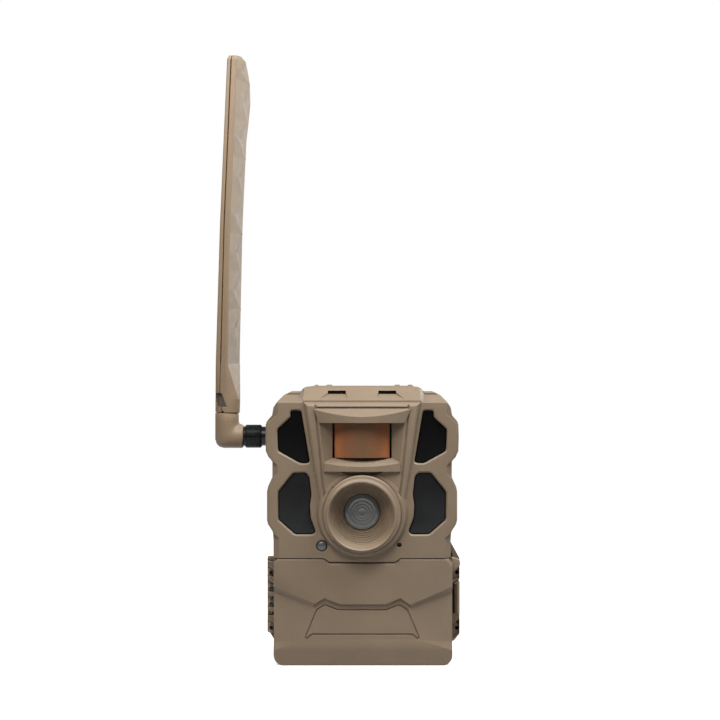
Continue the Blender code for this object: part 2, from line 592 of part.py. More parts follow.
# ---------------------------------------------------------------- power supply
def make_power():
    inner_r = CELL_R + 0.0001
    width = (CELL_COLUMNS - 1) * CELL_PITCH + 2 * inner_r + 0.0014
    height = (CELL_ROWS - 1) * CELL_PITCH + 2 * inner_r + 0.0014
    tray_outline = chamfered(TRAY_LEFT, TRAY_LEFT + width, TRAY_LOW, TRAY_LOW + height, 0.0016)
    tray = slab("battery_tray", tray_outline, TRAY_FRONT_Y, TRAY_BACK_Y)
    first_x, first_z = TRAY_LEFT + 0.0007 + inner_r, TRAY_LOW + 0.0007 + inner_r
    cell_front = -TRAY_FRONT_Y - 0.0013
    for row in range(CELL_ROWS):
        for column in range(CELL_COLUMNS):
            centre = (first_x + column * CELL_PITCH, first_z + row * CELL_PITCH)
            cut(tray, rod("cell_way", inner_r, -0.0300, cell_front + GAP, centre, "front", 20))
            turn = 1 if (row + column) % 2 else -1
            middle = cell_front - CELL_LENGTH / 2
            half = CELL_LENGTH / 2
            profile = [(0, half), (0.0027, half), (0.0027, half - 0.0010), (CELL_R - 0.0008, half - 0.0010),
                       (CELL_R - 0.0001, half - 0.0018), (CELL_R - 0.0001, -half), (0, -half)]
            cell = turned("aa_cell_%02d" % (row * CELL_COLUMNS + column + 1), profile, centre, steps=16)
            cell.location.y = -middle
            if turn < 0:
                cell.rotation_euler = Euler((-math.pi / 2, 0, 0))
            finish(cell, CELL_WRAP, 0.35)
    finish(tray, BLACK, 0.6)
    contacts = slab("contact_board", inset(tray_outline, GAP), TRAY_BACK_Y + GAP, TRAY_BACK_Y + 0.0018)
    finish(contacts, BOARD_GREEN, 0.5)
    plug = turned("dc_port_plug", [(0, 0.0042), (0.0028, 0.0042), (0.0030, 0.0030), (0.0037, 0.0030),
                                   (0.0037, 0.0001), (0, 0.0001)], DC_PORT, "up", 20)
    finish(plug, RUBBER, 0.8)
    jack = block("dc_jack", (DC_PORT[0] - 0.0045, DC_PORT[1] - 0.0045, 0.0045),
                 (DC_PORT[0] + 0.0045, DC_PORT[1] + 0.0045, 0.0140))
    finish(jack, BLACK, 0.5)


# ------------------------------------------------------------- control panel
def make_control_panel():
    panel = slab("control_panel", chamfered(PANEL_LEFT, PANEL_RIGHT, PANEL_LOW, PANEL_HIGH, 0.0012),
                 PANEL_FRONT_Y, PANEL_BACK_Y)
    wall = 0.0014
    cut(panel, block("panel_inside", (PANEL_LEFT + wall, PANEL_FRONT_Y + wall, PANEL_LOW + wall),
                     (PANEL_RIGHT - wall, PANEL_BACK_Y + 0.001, PANEL_HIGH - wall)))
    ways = {
        "display_way": ((0.0245, 0.0350), (0.0375, 0.0448)),
        "switch_way": ((CONTROL_X - 0.0017, 0.0060), (CONTROL_X + 0.0017, 0.0142)),
        "sd_way": ((0.0240, 0.0052), (0.0268, 0.0298)),
        "sim_way": ((0.0288, 0.0052), (0.0302, 0.0180)),
    }
    for name, ((x0, z0), (x1, z1)) in ways.items():
        cut(panel, block(name, (x0, PANEL_FRONT_Y - 0.001, z0), (x1, PANEL_FRONT_Y + 0.003, z1)))
    face = -PANEL_FRONT_Y
    for name, z in BUTTON_ROWS.items():
        cut(panel, rod("button_way", 0.0022, face - 0.003, face + 0.001, (CONTROL_X, z), "front", 16))
        button = turned(name, [(0, face + 0.0013), (0.0012, face + 0.0012), (0.0018, face + 0.0008),
                               (0.0019, face - 0.0020), (0.0027, face - 0.0020), (0.0027, face - 0.0028),
                               (0, face - 0.0028)], (CONTROL_X, z), steps=20)
        finish(button, RUBBER, 0.6)
    finish(panel, BLACK, 0.55)
    screen = block("display_screen", (0.0248, PANEL_FRONT_Y + 0.0002, 0.0353),
                   (0.0372, PANEL_FRONT_Y + 0.0020, 0.0445))
    finish(screen, WINDOW_BLACK, 0.1)
    knob = block("power_switch", (CONTROL_X - 0.0014, PANEL_FRONT_Y - 0.0013, 0.0063),
                 (CONTROL_X + 0.0014, PANEL_FRONT_Y + 0.0030, 0.0098))
    finish(knob, RUBBER, 0.5)
    finish(block("sd_card", (0.0243, PANEL_FRONT_Y - 0.0006, 0.0055), (0.0264, -0.0040, 0.0295)), BLACK, 0.4)
    finish(block("sim_card", (0.0291, PANEL_FRONT_Y - 0.0004, 0.0055), (0.0299, -0.0120, 0.0177)), METAL, 0.4)


# ---------------------------------------------------------------------- door
def make_door():
    door = soften(slab("door_shell", DOOR_OUTLINE, FACE_Y, FACE_Y + PLATE), 0.0009)
    join(door, slab("door_walls", DOOR_BODY, FACE_Y + 0.0012, RIM_Y))
    inside = inset(DOOR_BODY, 0.0016)
    cut(door, slab("door_inside", inside, FACE_Y + PLATE, RIM_Y + 0.001))
    groove = slab("badge_outline", BADGE, FACE_Y - 0.001, FACE_Y + 0.0005)
    cut(groove, slab("badge_island", inset(BADGE, 0.0007), FACE_Y - 0.002, FACE_Y + 0.001))
    cut(door, groove)
    add_knuckles(door, first=1, web_low=HINGE_Y - 0.0050, web_high=HINGE_Y)
    finish(door, BODY_TAN, 0.5)
    low, high = RIM_Y + GAP, SHELL_FRONT_Y - GAP
    outer = inset(DOOR_BODY, 0.0003)
    seal = slab("door_seal", outer, low, high)
    cut(seal, slab("door_seal_inside", inset(DOOR_BODY, 0.0016), low - 0.001, high + 0.001),
        block("hinge_room", (-0.0500, low - 0.001, 0.0100), (HINGE_X + 0.00245, high + 0.001, 0.0550)))
    finish(seal, RUBBER, 0.8)
    pin = rod("hinge_pin", HINGE_PIN_R, KNUCKLE_ENDS[0] - 0.0004, KNUCKLE_ENDS[-1] + 0.0004,
              (HINGE_X, HINGE_Y), sides=12)
    finish(pin, METAL, 0.3, 1.0)


def make_latch():
    heel = arc((LATCH_X, LATCH_Y), 0.00135, 0, 180, 7)
    lever_outline = heel + [(0.0445, -0.0180), (0.0439, -0.0192), (0.0439, -0.0208), (0.0446, -0.0222),
                            (0.0449, -0.0262), (0.0462, -0.0276), (0.0473, -0.0270), (0.0471, -0.0240)]
    lever = slab("latch_lever", lever_outline, LEVER_LOW, LEVER_HIGH, "XY")
    soften(lever, 0.0004, front=True, back=True, segments=1)
    cut(lever, rod("lever_bore", HINGE_PIN_R + PIN_CLEARANCE, LEVER_LOW - 0.001, LEVER_HIGH + 0.001,
                   (LATCH_X, LATCH_Y), sides=12))
    finish(lever, BODY_TAN, 0.5)
    pin = rod("latch_pin", HINGE_PIN_R, 0.0164, 0.0466, (LATCH_X, LATCH_Y), sides=12)
    finish(pin, METAL, 0.3, 1.0)


# ------------------------------------------------------------------- antenna
def make_nut():
    points = []
    for i in range(KNURLS):
        for share, radius in ((0.0, NUT_R - 0.0006), (0.3, NUT_R), (0.7, NUT_R)):
            angle = 2 * math.pi * (i + share) / KNURLS
            points.append((ANTENNA_Y + radius * math.cos(angle), ANTENNA_Z + radius * math.sin(angle)))
    nut = slab("antenna_nut", points, NUT_OUTER_X, NUT_INNER_X, "YZ")
    soften(nut, 0.0005, front=True, back=True, segments=1)
    cut(nut, rod("nut_bore", 0.0033, 0.0480, 0.0590, (ANTENNA_Y, ANTENNA_Z), "left", 20))
    finish(nut, BLACK, 0.45)


def make_elbow():
    """A mitred L: an arm along the jack's axis and an upright leaning like the blade."""
    corner = Vector((ANTENNA_X, ANTENNA_Y, ANTENNA_Z))
    rise = Vector((math.sin(BLADE_LEAN), 0, math.cos(BLADE_LEAN)))
    foot = rod("antenna_elbow", ARM_R, -NUT_OUTER_X + 0.0004, -ANTENNA_X + 0.0020,
               (ANTENNA_Y, ANTENNA_Z), "left", 28)
    upright = rod("upright", ARM_R + 0.0003, -0.0020, (COLLAR_Z - ANTENNA_Z) / rise.z - GAP, sides=28)
    upright.matrix_world = (Matrix.Translation(corner) @ rise.to_track_quat("Z", "X").to_matrix().to_4x4()
                            @ Matrix.Translation(upright.location))
    work = bmesh.new()
    bmesh.ops.create_uvsphere(work, u_segments=24, v_segments=14, radius=ARM_R + 0.0002)
    mesh = bpy.data.meshes.new("corner_ball")
    work.to_mesh(mesh)
    work.free()
    ball = add_object("corner_ball", mesh)
    ball.location = corner
    stub = rod("stub", 0.0030, 0.0553, -NUT_OUTER_X + 0.0010, (ANTENNA_Y, ANTENNA_Z), "left", 20)
    join(foot, upright, ball, stub)
    finish(foot, ANTENNA_TAN, 0.5)


def blade_outline():
    """Side view of the paddle: the near edge straight, the far edge swelling towards the tip."""
    near = -0.0066
    far = [(BLADE_TIP_WIDTH - 0.0012, BLADE_LENGTH), (BLADE_TIP_WIDTH + 0.0010, BLADE_LENGTH - 0.0012),
           (0.0215, BLADE_LENGTH - 0.0095), (BLADE_WIDEST, BLADE_WIDEST_UP), (0.0238, 0.1530),
           (0.0196, 0.1380), (0.0180, 0.1000), (BLADE_FOOT_WIDTH, 0.0085)]
    return ([(near, 0.0085), (near, BLADE_LENGTH - 0.0012), (near + 0.0012, BLADE_LENGTH)]
            + [(near + width, up) for width, up in far])


def make_blade():
    """Two half shells that meet at a seam, around the radiating strip."""
    foot = Vector((ANTENNA_X + math.sin(BLADE_LEAN) * (COLLAR_Z - ANTENNA_Z), ANTENNA_Y, COLLAR_Z))
    pivot = bpy.data.objects.new("blade_pivot", None)
    PARTS.objects.link(pivot)
    pivot.matrix_world = (Matrix.Translation(foot) @ Matrix.Rotation(BLADE_LEAN, 4, "Y")
                          @ Matrix.Rotation(-BLADE_YAW, 4, "Z"))
    foot_half, tip_half = BLADE_FOOT_THICK / 2, BLADE_TIP_THICK / 2
    seam = BLADE_FOOT_THICK * (SEAM_SHARE - 0.5)
    for side, sign in (("left", -1), ("right", 1)):
        blade = slab("antenna_blade_" + side, blade_outline(), -foot_half, foot_half, "YZ")
        taper = [(-foot_half - 0.002, BLADE_LENGTH + 0.01), (-tip_half, BLADE_LENGTH + 0.01),
                 (-tip_half, BLADE_LENGTH), (-foot_half, 0.0085), (-foot_half - 0.002, 0.0085)]
        facets = [slab("taper", taper, -0.04, 0.04, "XZ"), slab("taper", mirrored(taper), -0.04, 0.04, "XZ")]
        cut(blade, *facets)
        collar = rod("collar", 0.0061, GAP, 0.0095, sides=28)
        join(blade, collar)
        away_low, away_high = sorted((seam + sign * GAP / 2, -sign * 0.02))
        away = block("other_half", (away_low, -0.04, -0.01), (away_high, 0.04, BLADE_LENGTH + 0.01))
        pocket = block("strip_pocket", (seam - 0.0009, -0.0042, 0.0130), (seam + 0.0009, 0.0042, 0.1500))
        cut(blade, away, pocket)
        for piece in (blade, *facets, collar, away, pocket):
            piece.parent = pivot
        finish(blade, ANTENNA_TAN, 0.5)
    strip = block("antenna_element", (seam - 0.0005, -0.0038, 0.0135), (seam + 0.0005, 0.0038, 0.1490))
    strip.parent = pivot
    finish(strip, BRASS, 0.4, 1.0)


def build():
    global PARTS, TOOLS
    clear_scene()
    PARTS = new_collection("trail_camera")
    TOOLS = new_collection("cutters")
    make_rear_shell()
    make_front_bezel()
    for side, outline in WINDOWS.items():
        make_window(side, outline)
    make_motion_lens()
    make_lens_group()
    make_small_front_pieces()
    make_electronics()
    make_power()
    make_control_panel()
    make_door()
    make_latch()
    make_nut()
    make_elbow()
    make_blade()


build()
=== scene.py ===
"""Looks of the trail camera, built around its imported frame.

Metres, +Z up, the lens looks along -Y and the antenna is on the -X side.
Moulded pieces that show are remade here with finer shapes; the other nodes
keep their own shape and get a procedural material.
"""
import json
import math

import bmesh
import bpy
from mathutils import Euler, Matrix, Vector


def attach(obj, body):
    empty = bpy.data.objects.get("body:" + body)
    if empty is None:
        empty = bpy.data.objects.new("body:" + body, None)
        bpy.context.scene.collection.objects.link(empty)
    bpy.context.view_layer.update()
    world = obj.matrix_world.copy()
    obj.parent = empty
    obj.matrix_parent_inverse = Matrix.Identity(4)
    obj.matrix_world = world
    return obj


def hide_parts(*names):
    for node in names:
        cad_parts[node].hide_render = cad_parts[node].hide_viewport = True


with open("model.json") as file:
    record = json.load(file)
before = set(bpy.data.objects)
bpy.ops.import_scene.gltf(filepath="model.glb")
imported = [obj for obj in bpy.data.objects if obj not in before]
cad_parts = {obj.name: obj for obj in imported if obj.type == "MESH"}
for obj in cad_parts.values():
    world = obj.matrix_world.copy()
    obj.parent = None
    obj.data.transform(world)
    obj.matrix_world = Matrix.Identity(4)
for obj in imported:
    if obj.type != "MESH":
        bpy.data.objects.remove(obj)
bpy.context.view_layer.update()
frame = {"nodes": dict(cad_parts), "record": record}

# ---- dimensions
GAP = 0.0003
FACE_Y = -0.0340                               # front plane of the door and the bezel
RIM_Y = -0.0153                                # back rims of the door and the bezel
SHELL_FRONT_Y, BACK_Y, RIB_Y = -0.0138, 0.0285, 0.0360
PLATE = 0.0025                                 # thickness of the front and back plates
PLATEAU_Y = FACE_Y - 0.0025                    # raised centre of the bezel
BROW_Y = FACE_Y - 0.0072
SILL_Y = FACE_Y - 0.0054
TOP_Z = 0.1338
PART_Z = 0.0518                                # line between bezel and door
TAB_Z = 0.0496
CORNER = 0.0050
DOOR_LEFT, DOOR_RIGHT, DOOR_TOP_Z = -0.0425, 0.0434, 0.0515

LENS = (0.0, 0.0734)
RING_R, BOSS_R = 0.0186, 0.0210
MOUTH_R, THROAT_R = 0.0154, 0.0089
RING_FRONT, THROAT = 0.0405, 0.0272
FUNNEL_STEPS = 6
PIR_HALF, PIR_LOW, PIR_HIGH = 0.0142, 0.0998, 0.1169
LIGHT = (-0.0193, 0.0577)
MIC = (0.0178, 0.0582)

HINGE = HINGE_X, HINGE_Y = -0.0436, -0.0140
KNUCKLE_R, HINGE_PIN_R = 0.0020, 0.0008
KNUCKLE_ENDS = (0.0127, 0.0186, 0.0261, 0.0299, 0.0337, 0.0375, 0.0412, 0.0450, 0.0488, 0.0502)
SWING_CLEARANCE = 0.0004

LATCH = (0.0457, -0.0120)                      # axis of the latch's pin
LATCH_BORE_R = 0.0009
TRIPOD = (0.0, 0.0280)

ANTENNA_X, ANTENNA_Y, ANTENNA_Z = -0.0676, 0.0, 0.1089
JACK = (ANTENNA_Y, ANTENNA_Z)
COLLAR_Z = 0.1201
BLADE_LENGTH = 0.17855
BLADE_LEAN = math.radians(1.9)
BLADE_YAW = math.radians(16.5)
SEAM_SHARE = 0.43                              # how far across the blade's edge its seam lies
OUTSIDE = 0.0600                               # well past the housing's sides
CUT_OVER = 0.001                               # how far a cutter starts outside a surface

LENS_STEPS = 96
WHITE = (1.0, 1.0, 1.0)
TOOLS = []                                     # cutters, removed before the end


# ---- geometry
def add_object(name, mesh):
    obj = bpy.data.objects.new(name, mesh)
    bpy.context.scene.collection.objects.link(obj)
    return obj


def mesh_object(name, work):
    """An object from a bmesh, with its faces turned outwards."""
    bmesh.ops.recalc_face_normals(work, faces=work.faces)
    mesh = bpy.data.meshes.new(name)
    work.to_mesh(mesh)
    work.free()
    return add_object(name, mesh)


def loft(name, rings):
    """Skin rings of 3-D points that have the same count, and cap both ends."""
    work = bmesh.new()
    rows = [[work.verts.new(point) for point in ring] for ring in rings]
    for first, second in zip(rows, rows[1:]):
        for i in range(len(first)):
            j = (i + 1) % len(first)
            work.faces.new((first[i], first[j], second[j], second[i]))
    work.faces.new(rows[0])
    work.faces.new(rows[-1])
    return mesh_object(name, work)


def at_y(outline, y):
    return [(x, y, z) for x, z in outline]


def slab(name, outline, low, high, plane="XZ"):
    """A flat outline between two heights across its plane."""
    place = {"XZ": lambda u, v, w: (u, w, v), "XY": lambda u, v, w: (u, v, w),
             "YZ": lambda u, v, w: (w, u, v)}[plane]
    return loft(name, [[place(u, v, w) for u, v in outline] for w in (low, high)])


def rim_slab(name, outline, front, back, radius, steps=5):
    """A slab along Y whose front rim is rounded."""
    rings = []
    for i in range(steps + 1):
        angle = math.pi / 2 * i / steps
        rings.append(at_y(inset(outline, radius * (1 - math.sin(angle))),
                          front + radius * (1 - math.cos(angle))))
    rings.append(at_y(outline, back))
    return loft(name, rings)


def block(name, low, high):
    (x0, y0, z0), (x1, y1, z1) = low, high
    return slab(name, [(x0, z0), (x1, z0), (x1, z1), (x0, z1)], y0, y1)


def hull(name, points):
    """The convex solid around some points."""
    work = bmesh.new()
    for point in points:
        work.verts.new(point)
    bmesh.ops.convex_hull(work, input=work.verts)
    return mesh_object(name, work)


AXES = {
    "front": Euler((math.pi / 2, 0, 0)).to_matrix().to_4x4(),     # local Z points along -Y
    "left": Euler((0, -math.pi / 2, 0)).to_matrix().to_4x4(),     # local Z points along -X
    "up": Matrix.Identity(4),
}


def turned(name, profile, centre=(0, 0), axis="front", steps=LENS_STEPS, closed=False):
    """Turn a profile of (radius, height) points about an axis; closed for a ring."""
    place = {"up": (*centre, 0), "front": (centre[0], 0, centre[1]), "left": (0, *centre)}[axis]
    matrix = Matrix.Translation(place) @ AXES[axis]
    work = bmesh.new()
    rows = []
    for radius, height in profile:
        if radius < 1e-9:
            rows.append([work.verts.new(matrix @ Vector((0, 0, height)))])
            continue
        angles = [2 * math.pi * i / steps for i in range(steps)]
        rows.append([work.verts.new(matrix @ Vector((radius * math.cos(a), radius * math.sin(a),
                                                     height)))
                     for a in angles])
    pairs = list(zip(rows, rows[1:]))
    if closed:
        pairs.append((rows[-1], rows[0]))
    for first, second in pairs:
        for i in range(steps):
            j = (i + 1) % steps
            corners = [first[i % len(first)], first[j % len(first)],
                       second[j % len(second)], second[i % len(second)]]
            work.faces.new(list(dict.fromkeys(corners)))
    return mesh_object(name, work)


def rod(name, radius, low, high, centre=(0, 0), axis="up", steps=32, far_radius=None):
    profile = [(0, high), (far_radius or radius, high), (radius, low), (0, low)]
    return turned(name, profile, centre, axis, steps)


def arc(centre, radius, start, end, count):
    angles = [math.radians(start + (end - start) * i / (count - 1)) for i in range(count)]
    return [(centre[0] + radius * math.cos(a), centre[1] + radius * math.sin(a)) for a in angles]


def mirrored(points):
    return [(-across, up) for across, up in reversed(points)]


def both_sides(half):
    return half + mirrored(half)


def round_foot(left, right):
    """The two rounded lower corners of an outline."""
    return (arc((left + CORNER, CORNER), CORNER, 180, 270, 9)
            + arc((right - CORNER, CORNER), CORNER, -90, 0, 9))


def inset(outline, distance):
    """Move every side of a closed outline inwards; a negative distance moves it out."""
    points = [Vector(point) for point in outline]
    area = sum(a.x * b.y - b.x * a.y for a, b in zip(points, points[1:] + points[:1]))
    turn = 1 if area > 0 else -1
    moved = []
    for i, here in enumerate(points):
        before = (here - points[i - 1]).normalized()
        after = (points[(i + 1) % len(points)] - here).normalized()
        first = Vector((-before.y, before.x)) * turn
        second = Vector((-after.y, after.x)) * turn
        moved.append(tuple(here + (first + second) * distance / (1 + first.dot(second))))
    return moved


def rounded(outline, reach, count=4):
    """Round each corner of an outline with a curve that starts a reach away from it."""
    points = [Vector(point) for point in outline]
    smooth = []
    for i, here in enumerate(points):
        before, after = points[i - 1] - here, points[(i + 1) % len(points)] - here
        start = here + before.normalized() * min(reach, before.length * 0.45)
        end = here + after.normalized() * min(reach, after.length * 0.45)
        for k in range(count):
            t = k / (count - 1)
            smooth.append(tuple(start * (1 - t) ** 2 + here * 2 * t * (1 - t) + end * t ** 2))
    return smooth


def bulge(half_width, foremost, side, count=33):
    """Front line of a crescent in plan."""
    places = [half_width * (2 * i / (count - 1) - 1) for i in range(count)]
    return [(x, foremost + (side - foremost) * (x / half_width) ** 2) for x in places]


def combine(target, tools, operation):
    for tool in tools:
        modifier = target.modifiers.new(tool.name, "BOOLEAN")
        modifier.operation = operation
        modifier.solver = "EXACT"
        modifier.object = tool
        TOOLS.append(tool)
    return target


def cut(target, *tools):
    return combine(target, tools, "DIFFERENCE")


def join(target, *tools):
    return combine(target, tools, "UNION")


def settle(obj, angle=28):
    """Apply an object's modifiers, bring its mesh into the frame and shade it smooth by angle."""
    graph = bpy.context.evaluated_depsgraph_get()
    mesh = bpy.data.meshes.new_from_object(obj.evaluated_get(graph))
    mesh.transform(obj.matrix_world)
    obj.modifiers.clear()
    obj.parent = None
    obj.matrix_world = Matrix.Identity(4)
    obj.data = mesh
    mesh.shade_smooth()
    mesh.set_sharp_from_angle(angle=math.radians(angle))
    return obj


def remove_tools():
    for tool in TOOLS:
        bpy.data.objects.remove(tool)
    TOOLS.clear()


# ---- materials
def new_material(name):
    material = bpy.data.materials.new(name)
    material.use_nodes = True
    tree = material.node_tree
    tree.nodes.clear()
    output = tree.nodes.new("ShaderNodeOutputMaterial")
    shader = tree.nodes.new("ShaderNodeBsdfPrincipled")
    tree.links.new(shader.outputs[0], output.inputs[0])
    where = tree.nodes.new("ShaderNodeTexCoord").outputs["Object"]
    return material, tree, shader, where


def connect(tree, shader, colour, roughness):
    tree.links.new(colour, shader.inputs["Base Color"])
    tree.links.new(roughness, shader.inputs["Roughness"])


def calculated(tree, operation, *values):
    """A math node's result; each value is a number or a socket."""
    node = tree.nodes.new("ShaderNodeMath")
    node.operation = operation
    for socket, value in zip(node.inputs, values):
        if isinstance(value, float):
            socket.default_value = value
        else:
            tree.links.new(value, socket)
    return node.outputs[0]


def noise(tree, where, scale, detail=3.0, roughness=0.6):
    node = tree.nodes.new("ShaderNodeTexNoise")
    node.inputs["Scale"].default_value = scale
    node.inputs["Detail"].default_value = detail
    node.inputs["Roughness"].default_value = roughness
    tree.links.new(where, node.inputs["Vector"])
    return node.outputs["Fac"]


def ramp(tree, factor, stops):
    """A colour ramp; stops are (position, colour)."""
    node = tree.nodes.new("ShaderNodeValToRGB")
    elements = node.color_ramp.elements
    while len(elements) < len(stops):
        elements.new(0.5)
    for element, (position, colour) in zip(elements, stops):
        element.position = position
        element.color = (*colour, 1.0)
    tree.links.new(factor, node.inputs["Fac"])
    return node.outputs["Color"]


def spread(tree, factor, low, high, start=0.3, end=0.7):
    """Map a factor between start and end onto low to high."""
    node = tree.nodes.new("ShaderNodeMapRange")
    ends = {"From Min": start, "From Max": end, "To Min": low, "To Max": high}
    for socket, value in ends.items():
        node.inputs[socket].default_value = value
    tree.links.new(factor, node.inputs["Value"])
    return node.outputs["Result"]


def mixed(tree, factor, first, second, blend="MIX"):
    node = tree.nodes.new("ShaderNodeMix")
    node.data_type = "RGBA"
    node.blend_type = blend
    tree.links.new(factor, node.inputs["Factor"])
    for socket, value in ((node.inputs["A"], first), (node.inputs["B"], second)):
        if isinstance(value, tuple):
            socket.default_value = (*value, 1.0)
        else:
            tree.links.new(value, socket)
    return node.outputs["Result"]


def scaled(colour, amount):
    return tuple(min(1.0, channel * amount) for channel in colour)


def grey(level):
    return (level, level, level)


def soft_normal(tree, shader, where, edge, grain, depth, swell=0.0):
    """Rounded edges, a fine moulded grain and a faint swell, as the shader's normal."""
    bevel = tree.nodes.new("ShaderNodeBevel")
    bevel.samples = 6
    bevel.inputs["Radius"].default_value = edge
    fine = tree.nodes.new("ShaderNodeBump")
    fine.inputs["Distance"].default_value = depth
    fine.inputs["Strength"].default_value = 1.0
    tree.links.new(noise(tree, where, grain, 2.0), fine.inputs["Height"])
    tree.links.new(bevel.outputs[0], fine.inputs["Normal"])
    last = fine
    if swell:
        broad = tree.nodes.new("ShaderNodeBump")
        broad.inputs["Distance"].default_value = swell
        tree.links.new(noise(tree, where, 90.0, 1.0), broad.inputs["Height"])
        tree.links.new(fine.outputs[0], broad.inputs["Normal"])
        last = broad
    tree.links.new(last.outputs[0], shader.inputs["Normal"])
    return bevel.outputs[0]


def edge_mask(tree, rounded_normal):
    """1 along edges, where the rounded normal leaves the true one."""
    geometry = tree.nodes.new("ShaderNodeNewGeometry")
    product = tree.nodes.new("ShaderNodeVectorMath")
    product.operation = "DOT_PRODUCT"
    tree.links.new(rounded_normal, product.inputs[0])
    tree.links.new(geometry.outputs["Normal"], product.inputs[1])
    return spread(tree, product.outputs["Value"], 1.0, 0.0, 0.90, 0.995)


def crevice_mask(tree, reach):
    """1 in crevices, 0 in the open: where the painted shade goes."""
    node = tree.nodes.new("ShaderNodeAmbientOcclusion")
    node.samples = 4
    node.inputs["Distance"].default_value = reach
    return spread(tree, node.outputs["AO"], 1.0, 0.0, 0.25, 0.85)


def plastic(name, colour, rough=(0.42, 0.56), edge=0.00045, edge_highlight=1.25, crevice_shade_level=0.55, specular=0.45):
    """Satin moulded plastic: mottled colour, spark-eroded grain, a painted highlight along edges
    and painted shade in crevices.
    """
    material, tree, shader, where = new_material(name)
    rounded_normal = soft_normal(tree, shader, where, edge, 2600.0, 0.000018, 0.00008)
    base = ramp(tree, noise(tree, where, 38.0, 4.0),
                [(0.30, scaled(colour, 0.93)), (0.70, scaled(colour, 1.06))])
    speck = ramp(tree, noise(tree, where, 1500.0, 2.0), [(0.35, grey(0.90)), (0.65, grey(1.0))])
    flecked = mixed(tree, spread(tree, noise(tree, where, 300.0), 0.5, 0.9), base, speck,
                    "MULTIPLY")
    # painted highlight: edges made paler, in patches, where the rounded normal leaves the true one
    highlight_mask = calculated(tree, "MULTIPLY", edge_mask(tree, rounded_normal),
                        spread(tree, noise(tree, where, 420.0, 4.0), 0.1, 0.9, 0.35, 0.65))
    highlighted = mixed(tree, highlight_mask, flecked, scaled(colour, edge_highlight))
    # painted shade: the colour darkens, in patches, where the surface is occluded
    crevice_shade = calculated(tree, "MULTIPLY", crevice_mask(tree, 0.0016),
                      spread(tree, noise(tree, where, 160.0, 3.0), 0.35, 1.0))
    connect(tree, shader, mixed(tree, crevice_shade, highlighted, scaled(colour, crevice_shade_level)),
            spread(tree, noise(tree, where, 240.0, 4.0), *rough))
    shader.inputs["Specular IOR Level"].default_value = specular
    return material


def smooth_dark(name, low, high, rough, coat=0.0, scale=30.0, specular=0.5):
    """Polished dark plastic or glass with a faint haze and fine dust."""
    material, tree, shader, where = new_material(name)
    haze = ramp(tree, noise(tree, where, scale, 2.0), [(0.30, low), (0.72, high)])
    speck = spread(tree, noise(tree, where, 2400.0, 1.0), 0.0, 0.35, 0.66, 0.78)
    connect(tree, shader, mixed(tree, speck, haze, scaled(high, 3.0)),
            spread(tree, noise(tree, where, 130.0, 4.0), *rough))
    soft_normal(tree, shader, where, 0.0003, 900.0, 0.000004)
    shader.inputs["Specular IOR Level"].default_value = specular
    shader.inputs["Coat Weight"].default_value = coat
    shader.inputs["Coat Roughness"].default_value = 0.08
    return material


def metal(name, colour):
    """Plated or drawn metal with fine scratches and slight tarnish."""
    material, tree, shader, where = new_material(name)
    tarnish = ramp(tree, noise(tree, where, 260.0, 4.0),
                   [(0.30, scaled(colour, 0.72)), (0.62, colour)])
    connect(tree, shader, tarnish, spread(tree, noise(tree, where, 900.0, 3.0), 0.22, 0.42))
    soft_normal(tree, shader, where, 0.0002, 1800.0, 0.000006)
    shader.inputs["Metallic"].default_value = 1.0
    return material


def circuit_board(name):
    """Green solder mask over paler copper tracks."""
    material, tree, shader, where = new_material(name)
    cells = tree.nodes.new("ShaderNodeTexVoronoi")
    cells.distance = "CHEBYCHEV"
    cells.feature = "DISTANCE_TO_EDGE"
    cells.inputs["Scale"].default_value = 420.0
    tree.links.new(where, cells.inputs["Vector"])
    tracks = ramp(tree, cells.outputs["Distance"],
                  [(0.02, (0.030, 0.190, 0.070)), (0.07, (0.010, 0.075, 0.030))])
    blotch = ramp(tree, noise(tree, where, 120.0), [(0.3, grey(0.80)), (0.7, grey(1.0))])
    connect(tree, shader, mixed(tree, noise(tree, where, 60.0), tracks, blotch, "MULTIPLY"),
            spread(tree, noise(tree, where, 500.0), 0.3, 0.5))
    soft_normal(tree, shader, where, 0.0002, 700.0, 0.00001)
    return material


def amber_sheet(name):
    """Moulded Fresnel sheet: browner in the middle, with a painted reflection making it brighter
    and more orange towards its rounded sides.
    """
    material, tree, shader, where = new_material(name)
    parts = tree.nodes.new("ShaderNodeSeparateXYZ")
    tree.links.new(where, parts.inputs[0])
    side = calculated(tree, "ABSOLUTE", parts.outputs["X"])
    across = calculated(tree, "MULTIPLY_ADD", noise(tree, where, 70.0, 2.0), 0.0050, side)
    # painted reflection: brightest orange in a band near each side
    tint_and_reflection = ramp(tree, spread(tree, across, 0.0, 1.0, 0.0035, 0.0160),
                [(0.0, (0.150, 0.074, 0.036)), (0.55, (0.205, 0.080, 0.033)),
                 (0.85, (0.330, 0.112, 0.040)), (1.0, (0.250, 0.085, 0.032))])
    grain = ramp(tree, noise(tree, where, 900.0, 3.0), [(0.3, grey(0.86)), (0.7, grey(1.0))])
    connect(tree, shader, mixed(tree, noise(tree, where, 200.0), tint_and_reflection, grain, "MULTIPLY"),
            spread(tree, noise(tree, where, 300.0, 3.0), 0.42, 0.58))
    soft_normal(tree, shader, where, 0.0003, 1500.0, 0.00002)
    shader.inputs["Specular IOR Level"].default_value = 0.30
    return material


